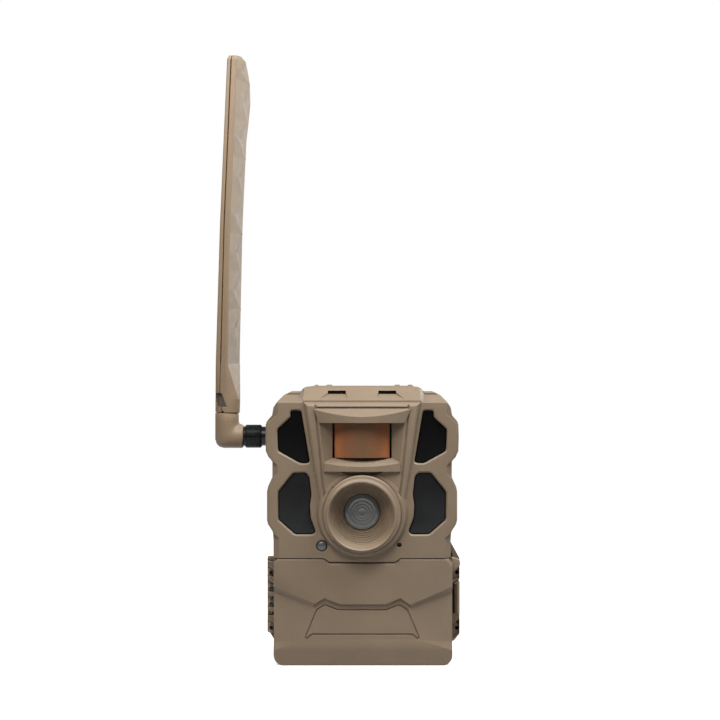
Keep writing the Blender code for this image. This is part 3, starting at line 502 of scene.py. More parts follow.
TAN = (0.212, 0.151, 0.098)
BLADE_TAN = (0.228, 0.156, 0.095)
MATERIALS = {
    "moulded_tan": plastic("moulded_tan", TAN, edge_highlight=1.50),
    "antenna_tan": plastic("antenna_tan", BLADE_TAN, edge_highlight=1.20),
    # painted light: the ring's tan is the body's tan made lighter, with less painted shade in its
    # crevices
    "ring_tan_painted_lighter": plastic("ring_tan_painted_lighter", scaled(TAN, 1.12), edge=0.0001, edge_highlight=1.15, crevice_shade_level=0.85),
    # a grey inlay made darker to paint the shade in its recess
    "inlay_grey_shaded": smooth_dark("inlay_grey_shaded", (0.066, 0.056, 0.045), (0.090, 0.077, 0.062),
                              (0.38, 0.50), 0.0, 200.0),
    "light_grey": smooth_dark("light_grey", (0.050, 0.056, 0.060), (0.075, 0.082, 0.086),
                              (0.30, 0.45), 0.2, 200.0),
    "nut_black": plastic("nut_black", (0.0040, 0.0040, 0.0046), (0.22, 0.34), edge=0.0001, edge_highlight=2.0,
                         crevice_shade_level=0.6, specular=0.22),
    "black_plastic": plastic("black_plastic", (0.016, 0.016, 0.018), (0.38, 0.55), edge_highlight=2.6,
                             crevice_shade_level=0.5),
    "ir_filter": smooth_dark("ir_filter", (0.0040, 0.0040, 0.0046), (0.0060, 0.0061, 0.0068),
                             (0.34, 0.44), specular=0.20),
    "ir_deep": smooth_dark("ir_deep", (0.0012, 0.0012, 0.0015), (0.0024, 0.0024, 0.0028),
                           (0.34, 0.44), specular=0.07),
    "amber_lens": amber_sheet("amber_lens"),
    "lens_grey": smooth_dark("lens_grey", (0.150, 0.160, 0.158), (0.165, 0.174, 0.170),
                             (0.30, 0.40), 0.3, 60.0),
    "board": circuit_board("board"),
    "steel": metal("steel", (0.56, 0.56, 0.58)),
    "brass": metal("brass", (0.62, 0.43, 0.17)),
    "rubber": plastic("rubber", (0.020, 0.020, 0.020), (0.62, 0.82), edge_highlight=2.0, crevice_shade_level=0.6,
                      specular=0.25),
    "cell": smooth_dark("cell", (0.030, 0.034, 0.042), (0.055, 0.060, 0.070), (0.25, 0.38), 0.3,
                        90.0),
}
SLOT_OF = {entry["node"]: entry["material_slot"] for entry in frame["record"]["subparts"]}
BODY_OF = {node: body for body, nodes in frame["record"]["behaviour"]["bodies"].items()
           for node in nodes}


def dress_nodes():
    for name, obj in frame["nodes"].items():
        material = MATERIALS[SLOT_OF[name]]
        if not obj.material_slots:
            obj.data.materials.append(material)
        for holder in obj.material_slots:
            holder.material = material


def stand_for(obj, *nodes, finish=None):
    """Put a remade piece in the place of CAD nodes: same body and, by default, same finish."""
    obj.data.materials.clear()
    obj.data.materials.append(MATERIALS[finish or SLOT_OF[nodes[0]]])
    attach(obj, BODY_OF[nodes[0]])
    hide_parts(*nodes)
    return obj


def ride_with(obj, node, finish):
    """Add a small piece that moves with a CAD node and has its own finish."""
    obj.data.materials.clear()
    obj.data.materials.append(MATERIALS[finish])
    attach(obj, BODY_OF[node])
    return obj


# ---- outlines
CROWN = [(0.0432, 0.1212), (0.0427, 0.1241), (0.0408, 0.1270), (0.0384, 0.1298), (0.0360, 0.1310),
         (0.0307, 0.1310), (0.0288, 0.1332), (0.0240, TOP_Z)]
BEZEL_SIDE = [(0.0427, TAB_Z), (0.0427, 0.0600), (0.0430, 0.0646), (0.0452, 0.0680),
              (0.0457, 0.0700), (0.0457, 0.0838), (0.0452, 0.0862), (0.0432, 0.0906),
              (0.0432, 0.0980), (0.0450, 0.1003), (0.0463, 0.1032), (0.0465, 0.1100),
              (0.0463, 0.1168), (0.0455, 0.1180), (0.0434, 0.1203)]
SHELL_SIDE = arc((0.0427 - CORNER, CORNER), CORNER, -90, 0, 9) + [(0.0430, 0.0646)]
UPPER_WINDOW = [(-0.0340, 0.1224), (-0.0296, 0.1224), (-0.0255, 0.0983), (-0.0265, 0.0978),
                (-0.0298, 0.0978), (-0.0400, 0.1035), (-0.0404, 0.1136), (-0.0341, 0.1193)]
LOWER_WINDOW = [(-0.0328, 0.0925), (-0.0272, 0.0925), (-0.0257, 0.0907), (-0.0247, 0.0823),
                (-0.0255, 0.0772), (-0.0251, 0.0712), (-0.0227, 0.0648), (-0.0237, 0.0636),
                (-0.0321, 0.0636), (-0.0399, 0.0705), (-0.0400, 0.0836)]
WINDOWS = {"upper_left": UPPER_WINDOW, "upper_right": mirrored(UPPER_WINDOW),
           "lower_left": LOWER_WINDOW, "lower_right": mirrored(LOWER_WINDOW)}
PLATEAU = both_sides([(0.0205, 0.0790), (0.0240, 0.0991), (0.0281, 0.1267)])
VALLEY = [(0.0224, 0.1262), (0.0212, 0.1120), (0.0200, 0.0990), (0.0193, 0.0925), (0.0187, 0.0860),
          (0.0172, 0.0790)]
DOOR_FOOT = round_foot(DOOR_LEFT, DOOR_RIGHT)
DOOR_OUTLINE = DOOR_FOOT + [
    (DOOR_RIGHT, 0.0497), (0.0416, DOOR_TOP_Z), (0.0186, DOOR_TOP_Z), (0.0156, TAB_Z - GAP),
    (-0.0156, TAB_Z - GAP), (-0.0186, DOOR_TOP_Z), (-0.0407, DOOR_TOP_Z), (DOOR_LEFT, 0.0497)]
DOOR_BODY = DOOR_FOOT + [(DOOR_RIGHT, TAB_Z - GAP), (DOOR_LEFT, TAB_Z - GAP)]
BADGE = both_sides([(0.0241, 0.0150), (0.0266, 0.0128), (0.0277, 0.0139), (0.0220, 0.0272),
                    (0.0180, 0.0297), (0.0114, 0.0272)])


# ---- front bezel
def make_bezel():
    bezel = rim_slab("bezel", both_sides(BEZEL_SIDE + CROWN), FACE_Y, RIM_Y, 0.0012)
    slope = [(FACE_Y - 0.010, 0.1245), (FACE_Y - 0.010, 0.1500), (RIM_Y + 0.002, 0.1500),
             (RIM_Y + 0.002, 0.1362), (FACE_Y, 0.1277)]
    cut(bezel, slab("top_slope", slope, -OUTSIDE, OUTSIDE, "YZ"))
    cut_margins(bezel)
    foot = FACE_Y + 0.001
    curve = [math.radians(angle) for angle in range(0, 91, 15)]
    plateau = loft("plateau", [at_y(PLATEAU, foot)] + [
        at_y(inset(PLATEAU, 0.0026 * (1 - math.cos(t))),
             FACE_Y + (PLATEAU_Y - FACE_Y) * math.sin(t) - 0.00005)
        for t in curve])
    boss = turned("boss", [(0, -PLATEAU_Y + 0.0004), (BOSS_R - 0.0010, -PLATEAU_Y + 0.0004),
                           (BOSS_R - 0.0003, -PLATEAU_Y + 0.0001),
                           (BOSS_R + 0.0002, -PLATEAU_Y - 0.0006),
                           (BOSS_R + 0.0006, -FACE_Y + 0.0007), (BOSS_R + 0.0011, -FACE_Y + 0.0001),
                           (BOSS_R + 0.0011, -FACE_Y - 0.001), (0, -FACE_Y - 0.001)], LENS)
    join(bezel, plateau, boss)
    cut_valleys(bezel)
    join(bezel, make_brow(), make_sill())
    cut_door_room(bezel)
    cavity = both_sides([(0.0405, PART_Z + 0.0006), (0.0415, 0.0640), (0.0415, 0.1215),
                         (0.0385, 0.1260)])
    cut(bezel, slab("cavity", cavity, FACE_Y + PLATE, RIM_Y + CUT_OVER))
    for side, outline in WINDOWS.items():
        smooth = rounded(outline, 0.0009)
        cut(bezel, loft("window_" + side, [
            at_y(inset(smooth, -0.0022), FACE_Y - 0.0009), at_y(inset(smooth, -0.0011), FACE_Y),
            at_y(inset(smooth, -0.0004), FACE_Y + 0.0006),
            at_y(inset(smooth, -0.0003), FACE_Y + 0.004)]))
    cut_motion_pocket(bezel)
    cut(bezel,
        rod("ring_way", RING_R + 0.00008, 0.0290, 0.0450, LENS, "front", LENS_STEPS),
        rod("light_way", 0.0026, 0.0300, 0.0352, LIGHT, "front", 32),
        rod("light_seat", 0.0028, 0.0336, 0.0352, LIGHT, "front", 32, 0.0034),
        rod("mic_way", 0.00115, 0.0300, 0.0352, MIC, "front", 24),
        rod("mic_seat", 0.00115, 0.0338, 0.0352, MIC, "front", 24, 0.0018),
        rod("knuckle_room", KNUCKLE_R + SWING_CLEARANCE, KNUCKLE_ENDS[-2], KNUCKLE_ENDS[-1] + GAP,
            HINGE))
    cut_top_slots(bezel)
    return stand_for(settle(bezel), "front_bezel")


def cut_margins(bezel):
    """Slanted margins where the outline steps in, and lower shoulders beside the raised top."""
    slant = 0.0090 / 0.0098
    places = (("upper", 0.0402, (0.1213, 0.1310), (0.1130, 0.1400)),
              ("middle", 0.0402, (0.0928, 0.0959), (0.0845, 0.1050)),
              ("lower", 0.0396, (0.0440, 0.0612), (0.0440, 0.0700)))
    for name, inner_x, inner_z, outer_z in places:
        for side in (-1, 1):
            rise = (0.0500 - inner_x) * slant
            points = [(side * inner_x, y, z) for y in (FACE_Y - 0.0040, FACE_Y - 0.0002)
                      for z in inner_z]
            points += [(side * 0.0500, y, z) for y in (FACE_Y - 0.0040, FACE_Y + rise)
                       for z in outer_z]
            cut(bezel, hull("margin_" + name, points))
    for side in (-1, 1):
        low = [(side * 0.0287, FACE_Y - 0.002, 0.1262), (side * 0.0309, RIM_Y + 0.002, 0.1304)]
        outer = [(side * 0.0500, y, z) for _, y, z in low]
        above = [(side * 0.0272, FACE_Y - 0.002, 0.1300), (side * 0.0288, RIM_Y + 0.002, 0.1338)]
        far = [(side * 0.0500, y, 0.1500) for _, y, _ in low]
        cut(bezel, hull("shoulder", low + outer + above + far))


def cut_valleys(bezel):
    """A shallow groove inside the raised centre's rim: down both sides and along the top."""
    half, depth = 0.0011, 0.0007
    above = PLATEAU_Y - 0.0003
    for side in (-1, 1):
        rings = [[(side * x - half, above, z), (side * x + half, above, z),
                  (side * x, PLATEAU_Y + depth, z)] for x, z in VALLEY]
        cut(bezel, loft("valley", rings))
    top_z = 0.1240
    rings = [[(x, above, top_z - 0.0009), (x, above, top_z + 0.0009),
              (x, PLATEAU_Y + 0.0006, top_z)] for x in (-0.0224, 0.0224)]
    cut(bezel, loft("top_valley", rings))


def crescent(name, levels, foremost, side_y, slope):
    """A bulging hood between two (height, half width) levels, its top cut on a slope."""
    rings = []
    for z, half in levels:
        plan = bulge(half, foremost, side_y) + [(half, FACE_Y), (-half, FACE_Y)]
        rings.append([(x, y, z) for x, y in plan])
    return cut(loft(name, rings), slab(name + "_slope", slope, -0.0300, 0.0300, "YZ"))


def make_brow():
    """Hood over the motion lens; its ends lean in and its top falls forwards."""
    side_y = FACE_Y - 0.0030
    slope = [(side_y + 0.0002, 0.1236), (side_y, 0.1300), (BROW_Y - 0.004, 0.1300),
             (BROW_Y - 0.004, 0.1170), (BROW_Y, 0.1200)]
    return crescent("brow", ((PIR_HIGH, 0.0206), (0.1235, 0.0232)), BROW_Y, side_y, slope)


def make_sill():
    side_y = FACE_Y - 0.0034
    slope = [(side_y + 0.0002, 0.0979), (side_y, 0.1050), (SILL_Y - 0.004, 0.1050),
             (SILL_Y - 0.004, 0.0930), (SILL_Y, 0.0961)]
    return crescent("sill", ((0.0936, 0.0184), (0.0978, 0.0178)), SILL_Y, side_y, slope)


def cut_motion_pocket(bezel):
    """The flared pocket round the motion lens, and the deep gap between the sill and the ring."""
    near = [(-0.0180, 0.0982), (0.0180, 0.0982), (0.0203, PIR_HIGH), (-0.0203, PIR_HIGH)]
    far = [(-PIR_HALF, PIR_LOW), (PIR_HALF, PIR_LOW), (PIR_HALF, PIR_HIGH), (-PIR_HALF, PIR_HIGH)]
    pocket = loft("motion_pocket", [at_y(near, PLATEAU_Y - 0.0008), at_y(near, PLATEAU_Y + 0.0002),
                                    at_y(far, FACE_Y + 0.0006)])
    gap = [(-0.0112, 0.0940), (0.0112, 0.0940), (0.0066, 0.0919), (-0.0066, 0.0919)]
    cut(bezel, pocket, block("motion_way", (-PIR_HALF, -0.0380, PIR_LOW),
                             (PIR_HALF, -0.0300, PIR_HIGH)),
        slab("sill_gap", gap, FACE_Y - 0.0040, FACE_Y - 0.0002))


def cut_door_room(bezel):
    """Below the parting line only the centre tab reaches the front."""
    for side in (-1, 1):
        room = [(side * 0.0183, PART_Z), (side * OUTSIDE, PART_Z), (side * OUTSIDE, TAB_Z - 0.002),
                (side * 0.0153, TAB_Z - 0.002), (side * 0.0153, TAB_Z)]
        cut(bezel, slab("door_lip_room", room, FACE_Y - 0.002, FACE_Y + PLATE + GAP))


def cut_top_slots(bezel):
    """Two slots in the sloping top, each at the head of a flared ramp and open inside."""
    for side in (-1, 1):
        inner, outer = side * 0.0079, side * 0.0166
        ramp_low = [(side * 0.0066, -0.0336, 0.1279), (side * 0.0208, -0.0336, 0.1279)]
        ramp_high = [(inner, -0.0250, 0.1305), (outer, -0.0250, 0.1305)]
        above = [(x, y - 0.006, z + 0.0035) for x, y, z in ramp_low + ramp_high]
        lid = [(inner, -0.0262, 0.1330), (outer, -0.0262, 0.1330)]
        cut(bezel, hull("slot_ramp", ramp_low + ramp_high + above + lid))
        near_x, far_x = sorted((inner, outer))
        cut(bezel, block("top_slot", (near_x, -0.0290, 0.1305), (far_x, -0.0170, 0.1321)),
            block("slot_well", (near_x, -0.0240, 0.1255), (far_x, -0.0170, 0.1315)))


# ---- door
def sunk(outline, extra=0.0):
    """An outline on the badge panel, which leans: deepest under its crest, shallow at the chin."""
    return [(x, FACE_Y + 0.00012 + 0.066 * max(0.0, z - 0.0128) + extra, z) for x, z in outline]


def make_door():
    door = rim_slab("door", DOOR_OUTLINE, FACE_Y, FACE_Y + PLATE, 0.0007)
    join(door, slab("door_walls", DOOR_BODY, FACE_Y + 0.0012, RIM_Y))
    crest = [(-0.0460, 0.0400), (-0.0227, 0.0299), (-0.0180, 0.0327), (-0.0108, 0.0297),
             (0.0114, 0.0297), (0.0184, 0.0327), (0.0231, 0.0293), (0.0470, 0.0398)]
    crest_foot = [(-0.0460, 0.0358), (-0.0236, 0.0284), (-0.0179, 0.0315), (-0.0109, 0.0286),
                  (0.0115, 0.0286), (0.0183, 0.0315), (0.0240, 0.0279), (0.0470, 0.0366)]
    chin = [(0.0470, 0.0122), (-0.0460, 0.0124)]
    chin_foot = [(0.0470, 0.0128), (-0.0460, 0.0130)]
    cut(door, loft("badge_panel", [at_y(crest + chin, FACE_Y - 0.0010), at_y(crest + chin, FACE_Y),
                                   sunk(crest_foot + chin_foot)]))
    for side, edge in ((-1, 0.0436), (1, 0.0446)):
        rows = (((0.0231, 0.0293, 0.0), (edge, 0.0386, 0.0), (0.0285, 0.0123, 0.0),
                 (edge, 0.0058, 0.0)),
                ((0.0237, 0.0281, 0.0011), (edge, 0.0360, 0.0020), (0.0290, 0.0129, 0.0002),
                 (edge, 0.0113, 0.0020)))
        points = [(side * x, FACE_Y + y, z) for row in rows for x, z, y in row]
        points += [(side * x, FACE_Y - CUT_OVER, z) for x, z, _ in rows[0]]
        cut(door, hull("side_panel", points))
    ear = [(0.0430, 0.0519), (0.0440, 0.0519), (0.0470, 0.0508), (0.0474, 0.0482), (0.0440, 0.0450),
           (0.0425, 0.0450), (0.0425, 0.0482), (0.0430, 0.0487)]
    join(door, rim_slab("door_ear", ear, FACE_Y + 0.0028, FACE_Y + 0.0050, 0.0004, 2))
    chin_slope = [(FACE_Y - 0.002, 0.0110), (FACE_Y, 0.0110), (FACE_Y + 0.0016, -0.0010),
                  (FACE_Y - 0.002, -0.0010)]
    cut(door, slab("chin_slope", chin_slope, -OUTSIDE, OUTSIDE, "YZ"))
    for side in (-1, 1):
        edge = 0.0434 if side > 0 else 0.0425
        corner = ((0.0398, -CUT_OVER, 0.0520), (0.0398, 0.0, 0.0520),
                  (edge + 0.0003, -CUT_OVER, 0.0464), (edge + 0.0003, 0.0, 0.0464),
                  (edge + 0.0003, 0.0024, 0.0520), (edge + 0.0010, -CUT_OVER, 0.0525))
        cut(door, hull("corner_facet", [(side * x, FACE_Y + y, z) for x, y, z in corner]))
        tab = ((0.0, -CUT_OVER, TAB_Z + 0.001), (0.0, 0.0007, TAB_Z + 0.001),
               (0.0030, -CUT_OVER, DOOR_TOP_Z + 0.001), (0.0030, 0.0007, DOOR_TOP_Z + 0.001),
               (-0.0030, -0.0006, TAB_Z - 0.0001), (0.0008, -0.0004, TAB_Z - 0.0040))
        cut(door, hull("tab_facet", [(side * 0.0156 + side * x, FACE_Y + y, z) for x, y, z in tab]))
    cut(door, slab("inside", inset(DOOR_BODY, 0.0016), FACE_Y + PLATE, RIM_Y + CUT_OVER))
    line = rounded(BADGE, 0.0008)
    groove = loft("badge_outline", [sunk(line, -0.001), sunk(line, 0.0006)])
    island = inset(line, 0.0006)
    cut(groove, loft("badge_island", [sunk(island, -0.002), sunk(island, 0.001)]))
    cut(door, groove)
    add_door_knuckles(door)
    return stand_for(settle(door), "door_shell")


PITS = (0.0426, 0.0346, 0.0306, 0.0270, 0.0230, 0.0155)     # heights of the hinge's dark pits
BORE_CLEARANCE = 0.0001


def hinge_barrels(piece, first, web, ribs=()):
    """Every second hinge barrel from the first, on webs, with swinging room round the others."""
    for i, (low, high) in enumerate(zip(KNUCKLE_ENDS, KNUCKLE_ENDS[1:])):
        if i % 2 == first:
            join(piece, rod("knuckle", KNUCKLE_R, low + GAP, high - GAP, HINGE),
                 slab("knuckle_web", web, low + GAP, high - GAP, "XY"))
        else:
            cut(piece, rod("knuckle_room", KNUCKLE_R + SWING_CLEARANCE, low, high, HINGE))
    cut(piece, *[block("hinge_pit", (-0.0455, -0.0210, z - 0.0009), (-0.0430, -0.0118, z + 0.0009))
                 for z in PITS])
    join(piece, *ribs)
    cut(piece, rod("hinge_bore", HINGE_PIN_R + BORE_CLEARANCE, KNUCKLE_ENDS[0] - 0.001,
                   KNUCKLE_ENDS[-1] + 0.001, HINGE))


def add_door_knuckles(door):
    """The door's hinge barrels on webs with sloping ribs."""
    left = -0.0462
    web = [(left, HINGE_Y - 0.0046), (HINGE_X + 0.0021, HINGE_Y - 0.0046),
           (HINGE_X + 0.0021, HINGE_Y), (HINGE_X - 0.0014, HINGE_Y), (left, HINGE_Y - 0.0018)]
    ribs = [hull("hinge_rib", [(x, y, z - drop) for y in (HINGE_Y - 0.0058, HINGE_Y - 0.0040)
                               for x, z in ((left, high), (-0.0424, low))
                               for drop in (0.0, 0.0010)])
            for high, low in ((0.0474, 0.0452), (0.0408, 0.0384), (0.0212, 0.0190))]
    hinge_barrels(door, 1, web, ribs)


# ---- rear shell
def back_slab(name, outline, front, back, radius, steps=5):
    """A slab along Y whose back rim is rounded."""
    rings = [at_y(outline, front)]
    for i in range(steps + 1):
        angle = math.pi / 2 * i / steps
        rings.append(at_y(inset(outline, radius * (1 - math.cos(angle))),
                          back - radius * (1 - math.sin(angle))))
    return loft(name, rings)


def make_shell():
    shell = back_slab("shell", both_sides(SHELL_SIDE + CROWN), SHELL_FRONT_Y, BACK_Y, 0.0030)
    inner_y = BACK_Y - PLATE
    upper_bay = both_sides([(0.0408, PART_Z + 0.0008), (0.0408, 0.1200), (0.0360, 0.1275),
                            (0.0270, 0.1310)])
    lower_bay = inset(both_sides(arc((0.0427 - CORNER, CORNER), CORNER, -90, 0, 7)
                                 + [(0.0427, TAB_Z + 0.0014)]), 0.0020)
    cut(shell, slab("upper_bay", upper_bay, SHELL_FRONT_Y - CUT_OVER, inner_y),
        slab("lower_bay", lower_bay, SHELL_FRONT_Y - CUT_OVER, inner_y))
    for x, width in ((-0.0235, 0.0032), (-0.0169, 0.0046), (0.0184, 0.0042), (0.0250, 0.0038)):
        half, top = width / 2, 0.1342
        hump = [(x - half, 0.0880), (x + half, 0.0880), (x + half, top - 0.0018),
                (x + half - 0.0005, top - 0.0006), (x + half - 0.0011, top),
                (x - half + 0.0011, top), (x - half + 0.0005, top - 0.0006),
                (x - half, top - 0.0018)]
        low = rounded([(x - half, 0.0080), (x + half, 0.0080), (x + half, 0.0480),
                       (x - half, 0.0480)], 0.0010)
        join(shell, back_slab("tree_rib", hump, 0.0200, RIB_Y, 0.0005, 3),
             back_slab("tree_rib_low", low, BACK_Y - 0.001, RIB_Y, 0.0005, 3))
    for i in range(17):                        # eight teeth below the strap loops, nine above
        z = 0.0105 + 0.0050 * i + (0.040 if i > 7 else 0.0)
        tooth = [(RIB_Y + 0.001, z - 0.0017), (RIB_Y - 0.0018, z), (RIB_Y + 0.001, z + 0.0017)]
        cut(shell, slab("tooth_gap", tooth, -0.0262, -0.0140, "YZ"),
            slab("tooth_gap", tooth, 0.0160, 0.0272, "YZ"))
    for side in (-1, 1):
        loop = rounded([(side * x, z) for x, z in ((0.0275, 0.0510), (0.0385, 0.0510),
                                                   (0.0385, 0.0860), (0.0275, 0.0860))], 0.0025)
        join(shell, back_slab("strap_loop", loop, BACK_Y - 0.001, RIB_Y, 0.0012, 4))
    boss = turned("tripod_boss", [(0, -BACK_Y + 0.001), (0.0102, -BACK_Y + 0.001),
                                  (0.0094, -BACK_Y - 0.0014), (0.0090, -RIB_Y + 0.0008),
                                  (0.0082, -RIB_Y), (0, -RIB_Y)], TRIPOD)
    jack = turned("jack_boss", [(0, 0.0420), (0.0085, 0.0420), (0.0085, 0.0456), (0.0078, 0.0464),
                                (0, 0.0464)], JACK, "left")
    join(shell, boss, jack)
    cut(shell, block("strap_way", (-0.0500, BACK_Y + 0.0002, 0.0548),
                     (0.0500, BACK_Y + 0.0049, 0.0822)),
        rod("insert_way", 0.0046, -RIB_Y - CUT_OVER, -0.0289, TRIPOD, "front", 48),
        rod("jack_way", 0.0034, 0.0380, 0.0500, JACK, "left", 48),
        rod("dc_way", 0.0040, -0.0010, 0.0040, (0.0310, 0.0080), steps=48))
    for x in (-0.0365, 0.0365):
        for z in (0.0590, 0.1190):
            join(shell, rod("screw_column", 0.0034, -inner_y - 0.001, -0.0060, (x, z), "front"))
            cut(shell, rod("screw_way", 0.0016, -0.0300, -0.0110, (x, z), "front"),
                rod("screw_seat", 0.0031, -0.0300, -0.0266, (x, z), "front"))
    add_ear(shell)
    add_shell_knuckles(shell)
    return stand_for(settle(shell), "rear_shell")


def add_ear(shell):
    """The latch's ear beside the door: two lugs with slanting pockets and pits."""
    back_y, front_y = 0.0020, -0.0225
    upper = [(0.0420, 0.0372), (0.0440, 0.0382), (0.0475, 0.0404), (0.0475, 0.0505),
             (0.0440, 0.0568), (0.0431, 0.0584), (0.0431, 0.0520), (0.0420, 0.0520)]
    lower = [(0.0420, 0.0103), (0.0446, 0.0103), (0.0475, 0.0138), (0.0475, 0.0238),
             (0.0420, 0.0238)]
    join(shell, slab("ear_upper", upper, front_y, back_y),
         slab("ear_lower", lower, front_y, back_y))
    cut(shell, block("door_room", (0.0400, front_y - CUT_OVER, 0.0095),
                     (DOOR_RIGHT + 0.0004, SHELL_FRONT_Y, 0.0530)),
        rod("latch_bore", LATCH_BORE_R, 0.0160, 0.0470, LATCH))
    floor_y = front_y + 0.0020
    pockets = ([(0.0430, 0.0446), (0.0471, 0.0480), (0.0471, 0.0411), (0.0430, 0.0386)],
               [(0.0430, 0.0176), (0.0471, 0.0208), (0.0471, 0.0143), (0.0446, 0.0114),
                (0.0430, 0.0114)])
    pits = ((0.0463, 0.0434, 0.0008), (0.0467, 0.0465, 0.0004), (0.0462, 0.0163, 0.0008),
            (0.0466, 0.0190, 0.0004))
    for pocket in pockets:
        cut(shell, loft("ear_pocket", [at_y(inset(pocket, -0.0003), front_y - CUT_OVER),
                                       at_y(inset(pocket, 0.0003), floor_y)]))
    for x, z, half in pits:
        cut(shell, block("ear_pit", (x - half, floor_y - 0.001, z - half),
                         (x + half, -0.0133, z + half * 1.1)))


def add_shell_knuckles(shell):
    """The shell's hinge barrels and webs, and the plate behind the hinge."""
    left = -0.0469
    plate = [(-0.0420, 0.0074), (-0.0438, 0.0090), (left, 0.0138), (left, 0.0486),
             (-0.0464, 0.0498), (-0.0458, 0.0494), (-0.0420, 0.0494)]
    web = [(-0.0466, HINGE_Y + 0.0024), (HINGE_X - 0.0014, HINGE_Y), (HINGE_X + 0.0021, HINGE_Y),
           (HINGE_X + 0.0021, HINGE_Y + 0.0070), (-0.0466, HINGE_Y + 0.0070)]
    join(shell, slab("hinge_plate", plate, -0.0072, -0.0058))
    hinge_barrels(shell, 0, web)


def make_lever():
    """The latch lever, its top cut on a slant."""
    heel = arc(LATCH, 0.00135, 0, 180, 9)
    outline = heel + [(0.0445, -0.0180), (0.0439, -0.0192), (0.0439, -0.0208), (0.0446, -0.0222),
                      (0.0449, -0.0262), (0.0462, -0.0276), (0.0473, -0.0270), (0.0471, -0.0240)]
    lever = loft("lever", [[(x, y, z) for x, y in inset(outline, edge)]
                           for z, edge in ((0.0241, 0.0003), (0.0244, 0.0), (0.0398, 0.0))])
    slant = [(0.0420, 0.0366), (0.0490, 0.0410), (0.0490, 0.0450), (0.0420, 0.0450)]
    cut(lever, slab("lever_slant", slant, -0.0300, -0.0080),
        rod("lever_bore", LATCH_BORE_R, 0.0230, 0.0410, LATCH),
        rod("heel_trim", 0.0031, 0.0379, 0.0410, LATCH))
    return stand_for(settle(lever), "latch_lever")


# ---- lens group
def make_lens_group():
    """A ring whose mouth sits lower and further left than its rim, round a stepped funnel."""
    back = [(RING_R, 0.0300), (0.0092, 0.0256), (THROAT_R, 0.0256), (THROAT_R, THROAT)]
    first, brink = 0.0140, MOUTH_R
    funnel = []
    brim = THROAT + 0.0086
    reach, rise = (first - THROAT_R) / FUNNEL_STEPS, (brim - THROAT) / FUNNEL_STEPS
    for i in range(FUNNEL_STEPS):
        radius, height = THROAT_R + reach * i, THROAT + rise * i
        funnel += [(radius + reach * 0.05, height + rise * 0.02),
                   (radius + reach * 0.50, height - rise * 0.04),
                   (radius + reach * 0.62, height + rise * 0.96),
                   (radius + reach * 0.85, height + rise * 1.04)]
    funnel += [(first + 0.0001, brim), (first + 0.0008, brim + 0.0018),
               (brink, RING_FRONT - 0.0012)]
    crest = [(brink + 0.0003, RING_FRONT - 0.0005), (brink + 0.0007, RING_FRONT - 0.0001),
             (brink + 0.0011, RING_FRONT), (brink + 0.0015, RING_FRONT - 0.0003)]
    valley = [(0.0173, RING_FRONT - 0.0008), (0.0176, RING_FRONT - 0.0009)]
    shoulder = arc((RING_R - 0.0009, RING_FRONT - 0.0018), 0.0009, 80, 0, 6)
    ring = turned("ring", back + funnel + crest + valley + shoulder, LENS, closed=True)
    for vertex in ring.data.vertices:
        across, up = vertex.co.x - LENS[0], vertex.co.z - LENS[1]
        depth = (-vertex.co.y - THROAT) / (RING_FRONT - THROAT)
        inside = max(0.0, min(1.0, (0.0180 - math.hypot(across, up)) / 0.0018))
        share = max(0.0, min(1.0, depth)) * inside
        vertex.co.x -= 0.0004 * share
        vertex.co.z -= 0.0010 * share
    # the ring takes the tan that is painted lighter
    stand_for(settle(ring, 30), "lens_ring", finish="ring_tan_painted_lighter")
    window = [(0, 0.0271)]
    for radius in (0.0020, 0.0033, 0.0048, 0.0066):
        window += [(radius - 0.0006, 0.0269), (radius - 0.0002, 0.0271), (radius + 0.0002, 0.0271)]
    window += [(0.0078, 0.0268), (THROAT_R - GAP, 0.0266), (THROAT_R - GAP, 0.0258), (0, 0.0258)]
    glass = turned("glass", window, LENS)
    stand_for(settle(glass, 60), "lens_window")


def make_status_light():
    profile = [(0.00235 * math.sin(math.radians(a)), 0.0334 + 0.0012 * math.cos(math.radians(a)))
               for a in range(0, 91, 10)]
    profile += [(0.00235, 0.0312), (0, 0.0312)]
    stand_for(settle(turned("light_dome", profile, LIGHT, steps=48), 60), "status_light",
              finish="light_grey")
    # painted shade: the microphone is finished black so its hole reads dark
    darkened_mic = turned("mic_can", [(0, 0.0309), (0.0011, 0.0309), (0.0013, 0.0311), (0.0020, 0.0311),
                               (0.0020, 0.0290), (0, 0.0290)], MIC, steps=32)
    stand_for(settle(darkened_mic), "microphone", finish="black_plastic")


def make_windows():
    """Dark filters with eased front edges, each on its flange."""
    for side, outline in WINDOWS.items():
        smooth = rounded(outline, 0.0007)
        front_y, flange_y = FACE_Y + 0.0008, FACE_Y + PLATE + GAP
        pane = rim_slab("filter_" + side, smooth, front_y, flange_y + 0.0006, 0.0003, 3)
        join(pane, slab("flange", inset(smooth, -0.0008), flange_y, flange_y + 0.0010))
        finish = "ir_deep" if side.startswith("upper") else "ir_filter"
        stand_for(settle(pane), "ir_window_" + side, finish=finish)


def make_motion_lens():
    front = bulge(0.0132, FACE_Y - 0.0036, FACE_Y + 0.0006)
    back = [(x, y + 0.0012) for x, y in reversed(front)]
    lens = slab("motion_sheet", front + back, PIR_LOW + 0.0003, PIR_HIGH - 0.0003, "XY")
    return stand_for(settle(lens, 40), "motion_lens")


# ---- antenna
def blade_matrix():
    foot = Vector((ANTENNA_X + math.sin(BLADE_LEAN) * (COLLAR_Z - ANTENNA_Z), ANTENNA_Y, COLLAR_Z))
    return (Matrix.Translation(foot) @ Matrix.Rotation(BLADE_LEAN, 4, "Y")
            @ Matrix.Rotation(-BLADE_YAW, 4, "Z"))


